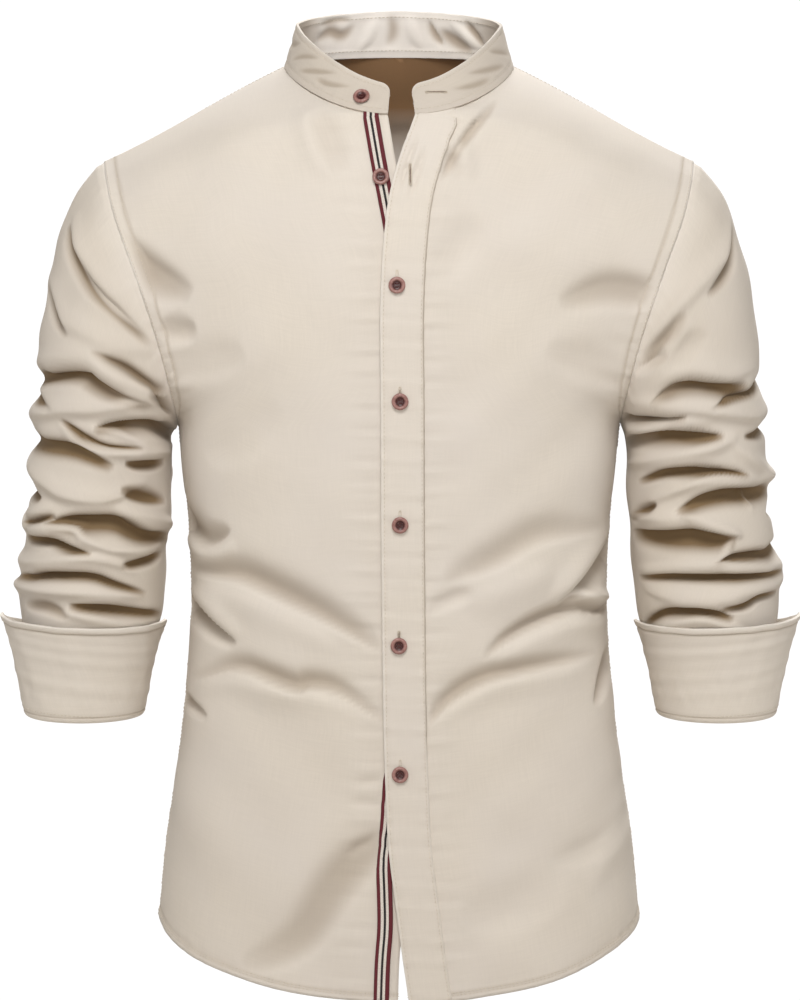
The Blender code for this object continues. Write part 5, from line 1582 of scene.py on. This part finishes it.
def seat_frame(point, normal):
    """Matrix that puts +Z along the normal and +Y as near upright as it can be."""
    out = Vector(normal).normalized()
    up = (Vector((0, 0, 1)) - out * out.z).normalized()
    return Matrix((up.cross(out), up, out)).transposed().to_4x4(), Vector(point)


def placed(piece_mesh, point, normal):
    """Moves a button or its thread to its seat on the cloth."""
    turn, at = seat_frame(point, normal)
    piece_mesh.transform(Matrix.Translation(at) @ turn)


def turned_button(name):
    """A button blank, spun from its profile, with four holes cut through it."""
    r, h = BUTTON_RADIUS, BUTTON_THICKNESS
    profile = (
        (0.0, 0.50), (0.30, 0.50), (0.44, 0.53), (0.54, 0.66), (0.62, 0.88), (0.70, 0.98), (0.78, 1.0),
        (0.88, 0.97), (0.96, 0.84), (1.0, 0.62), (0.99, 0.34), (0.90, 0.10), (0.80, 0.0), (0.0, 0.0),
    )
    bm = bmesh.new()
    chain = [bm.verts.new((x * r, 0, z * h)) for x, z in profile]
    edges = [bm.edges.new(pair) for pair in zip(chain, chain[1:])]
    bmesh.ops.spin(bm, geom=chain + edges, cent=(0, 0, 0), axis=(0, 0, 1), angle=2 * pi, steps=40,
                   use_merge=True)
    bmesh.ops.remove_doubles(bm, verts=bm.verts, dist=1e-6)
    bmesh.ops.recalc_face_normals(bm, faces=bm.faces)
    button = shown(name, mesh_from(bm, name))
    drill_bm = bmesh.new()
    for x, y in ((-1, -1), (1, -1), (-1, 1), (1, 1)):
        rod(drill_bm, HOLE_RADIUS, 3 * h, 12, Matrix.Translation((x * HOLE_OUT, y * HOLE_OUT, h / 2)))
    drill = shown("drill", mesh_from(drill_bm, "drill"))
    cut = button.modifiers.new("holes", "BOOLEAN")
    cut.operation, cut.object, cut.solver = "DIFFERENCE", drill, "EXACT"
    made = as_made(button)
    bpy.data.objects.remove(drill)
    made.name = name
    made.shade_smooth()
    made.set_sharp_from_angle(angle=radians(48))
    made.materials.clear()
    made.materials.append(BUTTON_PLASTIC)
    radius = np.array([np.hypot(vert.co.x, vert.co.y) for vert in made.vertices]) / r
    height = np.array([vert.co.z for vert in made.vertices]) / h
    dish = np.where(height > 0.4, 1 - ease((radius - 0.50) / 0.14), 0.0) + np.where(height < 0.45, 0.35, 0.0)
    mark(made, "dish", dish)
    return made


def nearest_place(points, normals, x, z):
    """The point of a grid, and its normal, that shows at x and z from the front."""
    apart = np.hypot(points[..., 0] - x, points[..., 2] - z) + np.where(normals[..., 1] < 0, 0.0, 1.0)
    at = np.unravel_index(np.argmin(apart), apart.shape)
    return points[at], normals[at]


def between(grid, factor=6):
    """The same grid with more points, so that something small can be placed exactly."""
    for axis in (0, 1):
        count = grid.shape[axis]
        at = np.linspace(0, count - 1, (count - 1) * factor + 1)
        low = np.minimum(at.astype(int), count - 2)
        share = at - low
        share = share[:, None, None] if axis == 0 else share[None, :, None]
        grid = np.take(grid, low, axis=axis) * (1 - share) + np.take(grid, low + 1, axis=axis) * share
    return grid


# %% Buttons
# Where each button shows from the front, as (x, z), from the collar down.
BUTTONS = (
    (-0.0283, -0.0217), (-0.0137, -0.0812), (-0.0015, -0.1616), (0.0008, -0.2496),
    (0.0008, -0.3443), (0.0000, -0.4378), (0.0008, -0.5376),
)
blank = turned_button("button_blank")
right_end, left_end = slice(0, 60), slice(-60, None)
on_collar = between(collar_face[:, right_end]), between(collar_normals[:, right_end])
on_tape = between(tape_face), between(tape_normals)
on_strip = between(strip_face), between(strip_normals)
surfaces = [on_collar, on_tape] + [on_strip] * 5
seats = [nearest_place(*surface, x, z) for surface, (x, z) in zip(surfaces, BUTTONS)]
button_pieces = []
for k, (seat, normal) in enumerate(seats, start=1):
    mesh = blank.copy()
    mesh.name = f"button_{k}_turned"
    placed(mesh, seat + normal * BUTTON_LIFT, normal)
    button_pieces.append(shown(f"button_{k}_turned", mesh))
print(len(button_pieces), "buttons,", len(blank.polygons), "faces each")


# %% Button thread
THREAD_RADIUS, THREAD_OUT, BAR_LENGTH = 0.00028, 0.00022, 0.0030


def thread_bars(seat, normal):
    """Short bars of thread over the dished middle of a button, two beside each other from hole to hole."""
    bm = bmesh.new()
    for y in (-HOLE_OUT, HOLE_OUT):
        for offset in (-THREAD_OUT, THREAD_OUT):
            at = Matrix.Translation((0, y + offset, 0.56 * BUTTON_THICKNESS + 0.0001))
            rod(bm, THREAD_RADIUS, BAR_LENGTH, 8, at @ Matrix.Rotation(pi / 2, 4, "Y"))
    mesh = mesh_from(bm, "button_thread")
    mesh.shade_smooth()
    placed(mesh, seat + normal * BUTTON_LIFT, normal)
    return mesh


thread_bm = bmesh.new()
for seat, normal in seats:
    bar = thread_bars(seat, normal)
    thread_bm.from_mesh(bar)
    bpy.data.meshes.remove(bar)
thread_mesh = mesh_from(thread_bm, "button_thread")
thread_mesh.materials.append(DARK_THREAD_AND_SLIT_SHADE)
button_thread = shown("button_thread", thread_mesh)
print("button thread:", len(thread_mesh.polygons), "faces")

# %% [markdown]
# ## Buttonholes
#
# A buttonhole is a slit with a tight border of stitches set across its edge. Those on the strip run up
# and down, the one on the collar runs along the band. The border is a path round the slit that the
# stitching tool below follows with its stitches turned sideways. In each slit lies a thin dark sheet:
# painted shade for the shade inside the open slit.

# %% Buttonhole paths
HOLE_LENGTH, HOLE_BORDER, SLIT_HALF_WIDTH, HOLE_RISE = 0.0150, 0.00075, 0.00030, 0.0030
SECOND_HOLE, COLLAR_HOLE = (0.0085, -0.0785), (0.0285, -0.0175)
across_paths, slit_shades = [], []


def buttonhole(point, normal, upright=True):
    """A narrow slit on a surface, as the outline of a thin dark sheet of painted shade, and the path of the
    stitches round it.
    """
    turn, at = seat_frame(point, normal)
    place = Matrix.Translation(at) @ turn
    half, side = HOLE_LENGTH / 2, HOLE_BORDER

    def on_cloth(flat, lift):
        """Puts flat places on the cloth, turned by a quarter where the hole runs along the band."""
        return [place @ Vector((x, y, lift) if upright else (y, -x, lift)) for x, y in flat]

    loop = [(side, y) for y in np.linspace(-half, half, 16)]
    loop += [(side * np.cos(a), half + side * np.sin(a)) for a in np.linspace(0, pi, 7)[1:-1]]
    loop += [(-side, y) for y in np.linspace(half, -half, 16)]
    loop += [(side * np.cos(a), -half + side * np.sin(a)) for a in np.linspace(pi, 2 * pi, 7)[1:]]
    path = np.array(on_cloth(loop, 0.00015))
    across_paths.append((path, np.tile(np.asarray(normal, float), (len(path), 1))))
    turns = np.linspace(0, 2 * pi, 18, endpoint=False)
    outline = [(SLIT_HALF_WIDTH * np.sin(a), half * np.cos(a)) for a in turns]
    slit_shades.append(on_cloth(outline, 0.0001))


for x, z in BUTTONS[2:]:
    buttonhole(*nearest_place(*on_strip, x, z + HOLE_RISE))
buttonhole(*nearest_place(*on_strip, *SECOND_HOLE))
on_left_collar = between(collar_face[:, left_end]), between(collar_normals[:, left_end])
buttonhole(*nearest_place(*on_left_collar, *COLLAR_HOLE), upright=False)

# Each slit is a dark sheet with the dark thread's finish: painted shade where the slit is open.
slit_shade_bm = bmesh.new()
for outline in slit_shades:
    slit_shade_bm.faces.new([slit_shade_bm.verts.new(p) for p in outline])
slit_shade_mesh = mesh_from(slit_shade_bm, "buttonhole_slit_shade")
slit_shade_mesh.materials.append(DARK_THREAD_AND_SLIT_SHADE)
slit_shade_piece = shown("buttonhole_slit_shade", slit_shade_mesh)
print(len(slit_shades), "buttonholes")

# %% [markdown]
# ## Stitches
#
# Thousands of stitches would be slow to place one by one, and they follow a rule: the same small bead of
# thread, again and again along a path. Geometry Nodes do that. The tree spaces points along the paths and
# puts a stitch on each, laid along the path with its back to the cloth and turned a little at random.


# %% The stitching tool
def stitching_tree():
    """Geometry Nodes tree that sews along the edges of a mesh, with its sizes as named inputs."""
    tree = bpy.data.node_groups.new("stitching", "GeometryNodeTree")
    tree.is_modifier = True
    face = tree.interface
    face.new_socket("Geometry", in_out="INPUT", socket_type="NodeSocketGeometry")
    for label, value in (("Spacing", 0.0032), ("Stitch Length", 0.0023), ("Thread Width", 0.00045),
                         ("Turn", 0.0), ("Unevenness", 0.12)):
        face.new_socket(label, in_out="INPUT", socket_type="NodeSocketFloat").default_value = value
    face.new_socket("Seed", in_out="INPUT", socket_type="NodeSocketInt").default_value = 3
    face.new_socket("Thread", in_out="INPUT", socket_type="NodeSocketMaterial")
    face.new_socket("Geometry", in_out="OUTPUT", socket_type="NodeSocketGeometry")
    given = tree.nodes.new("NodeGroupInput").outputs
    done = tree.nodes.new("NodeGroupOutput")

    def node(kind, links=(), **values):
        """A node of this tree."""
        return add_node(tree, kind, links, **values)

    curve = node("GeometryNodeMeshToCurve", {"Mesh": given["Geometry"]})
    spaced = node("GeometryNodeResampleCurve", {"Curve": curve.outputs["Curve"], "Length": given["Spacing"]},
                  mode="LENGTH")
    bead = node("GeometryNodeMeshUVSphere", {"Segments": 6, "Rings": 4, "Radius": 0.5})
    width = given["Thread Width"]
    size = node("ShaderNodeCombineXYZ", {"X": given["Stitch Length"], "Y": width, "Z": width})
    out = node("GeometryNodeInputNamedAttribute", {"Name": "out"}, data_type="FLOAT_VECTOR")
    tangent = node("GeometryNodeInputTangent")
    along = node("FunctionNodeAlignRotationToVector", {"Vector": tangent.outputs["Tangent"]}, axis="X")
    upright = node("FunctionNodeAlignRotationToVector", {
        "Rotation": along.outputs["Rotation"], "Vector": out.outputs["Attribute"],
    }, axis="Z", pivot_axis="X")
    low = node("ShaderNodeMath", {0: given["Unevenness"], 1: -1.0}, operation="MULTIPLY")
    wobble = node("FunctionNodeRandomValue", {"Seed": given["Seed"]}, data_type="FLOAT")
    tree.links.new(low.outputs[0], wobble.inputs[2])
    tree.links.new(given["Unevenness"], wobble.inputs[3])
    turn = node("ShaderNodeMath", {0: given["Turn"], 1: wobble.outputs[1]}, operation="ADD")
    spin = node("FunctionNodeAxisAngleToRotation", {"Axis": (0, 0, 1), "Angle": turn.outputs[0]})
    turned = node("FunctionNodeRotateRotation", {
        "Rotation": upright.outputs["Rotation"], "Rotate By": spin.outputs["Rotation"],
    }, rotation_space="LOCAL")
    placed_beads = node("GeometryNodeInstanceOnPoints", {
        "Points": spaced.outputs["Curve"], "Instance": bead.outputs["Mesh"],
        "Rotation": turned.outputs["Rotation"], "Scale": size.outputs["Vector"],
    })
    real = node("GeometryNodeRealizeInstances", {"Geometry": placed_beads.outputs["Instances"]})
    finish = node("GeometryNodeSetMaterial", {
        "Geometry": real.outputs["Geometry"], "Material": given["Thread"],
    })
    tree.links.new(finish.outputs["Geometry"], done.inputs["Geometry"])
    return tree


STITCHING = stitching_tree()


def sewn(name, paths, thread, **sizes):
    """A plain mesh of stitches along the given paths."""
    mesh = bpy.data.meshes.new(name + "_paths")
    points = np.concatenate([path for path, _ in paths])
    normals = np.concatenate([out for _, out in paths])
    edges, start = [], 0
    for path, _ in paths:
        edges += [(start + k, start + k + 1) for k in range(len(path) - 1)]
        start += len(path)
    mesh.from_pydata(points.tolist(), edges, [])
    out = mesh.attributes.new("out", "FLOAT_VECTOR", "POINT")
    out.data.foreach_set("vector", normals.astype(np.float32).ravel())
    guide = shown(name + "_guide", mesh)
    sewing = guide.modifiers.new("stitching", "NODES")
    sewing.node_group = STITCHING
    inputs = [item for item in STITCHING.interface.items_tree if item.in_out == "INPUT"]
    sockets = {item.name: item.identifier for item in inputs}
    sewing[sockets["Thread"]] = thread
    for label, value in sizes.items():
        sewing[sockets[label.replace("_", " ")]] = value
    made = as_made(guide)
    made.name = name
    made.shade_smooth()
    print(name, len(made.polygons), "faces")
    return shown(name, made)


seam_stitches = sewn("seam_stitches", stitch_paths, CLOTH_THREAD)
hole_stitches = sewn("buttonhole_stitches", across_paths, CLOTH_THREAD, Spacing=0.00055, Stitch_Length=0.0013,
                     Thread_Width=0.00048, Turn=pi / 2)

# %% [markdown]
# ## Everything rides on the shirt
#
# The last step hangs every piece on the model's root and hides the CAD wall that each stands for. The
# table of cuts also lists, for each cloth, its finish slot, its flat size, its area, how it is held and what
# it rests on, but nothing below reads these.

for piece in (seam_stitches, hole_stitches, slit_shade_piece, button_thread):
    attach(piece, "root")
for k, button in enumerate(button_pieces, start=1):
    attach(button, "root")
    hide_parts(f"button_{k}")

Cut = namedtuple("Cut", "node slot flat area held rests_on")
CUTS = (
    Cut("left_front", "shirt_cloth", (0.290, 0.740), 0.178, "hung", "collar_band_cloth"),
    Cut("right_front", "shirt_cloth", (0.275, 0.740), 0.165, "hung", "collar_band_cloth"),
    Cut("back", "shirt_cloth", (0.540, 0.760), 0.345, "hung", "collar_band_cloth"),
    Cut("front_placket", "shirt_cloth", (0.033, 0.690), None, "stretched", "left_front_cloth"),
    Cut("striped_tape", "tape", (0.012, 0.690), None, "stretched", "right_front_cloth"),
    Cut("collar_band", "shirt_cloth", (0.470, 0.034), None, "folded", "back_cloth"),
    Cut("left_sleeve", "shirt_cloth", (0.430, 0.560), 0.170, "gathered", "left_front_cloth"),
    Cut("right_sleeve", "shirt_cloth", (0.430, 0.560), 0.170, "gathered", "right_front_cloth"),
    Cut("left_cuff", "shirt_cloth", (0.330, 0.095), None, "folded", "left_sleeve_cloth"),
    Cut("right_cuff", "shirt_cloth", (0.330, 0.095), None, "folded", "right_sleeve_cloth"),
)
for cut in CUTS:
    piece = cloth_pieces[cut.node]
    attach(piece, "root")
    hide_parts(cut.node)
print(len(CUTS), "sheets,", len(button_pieces), "buttons")
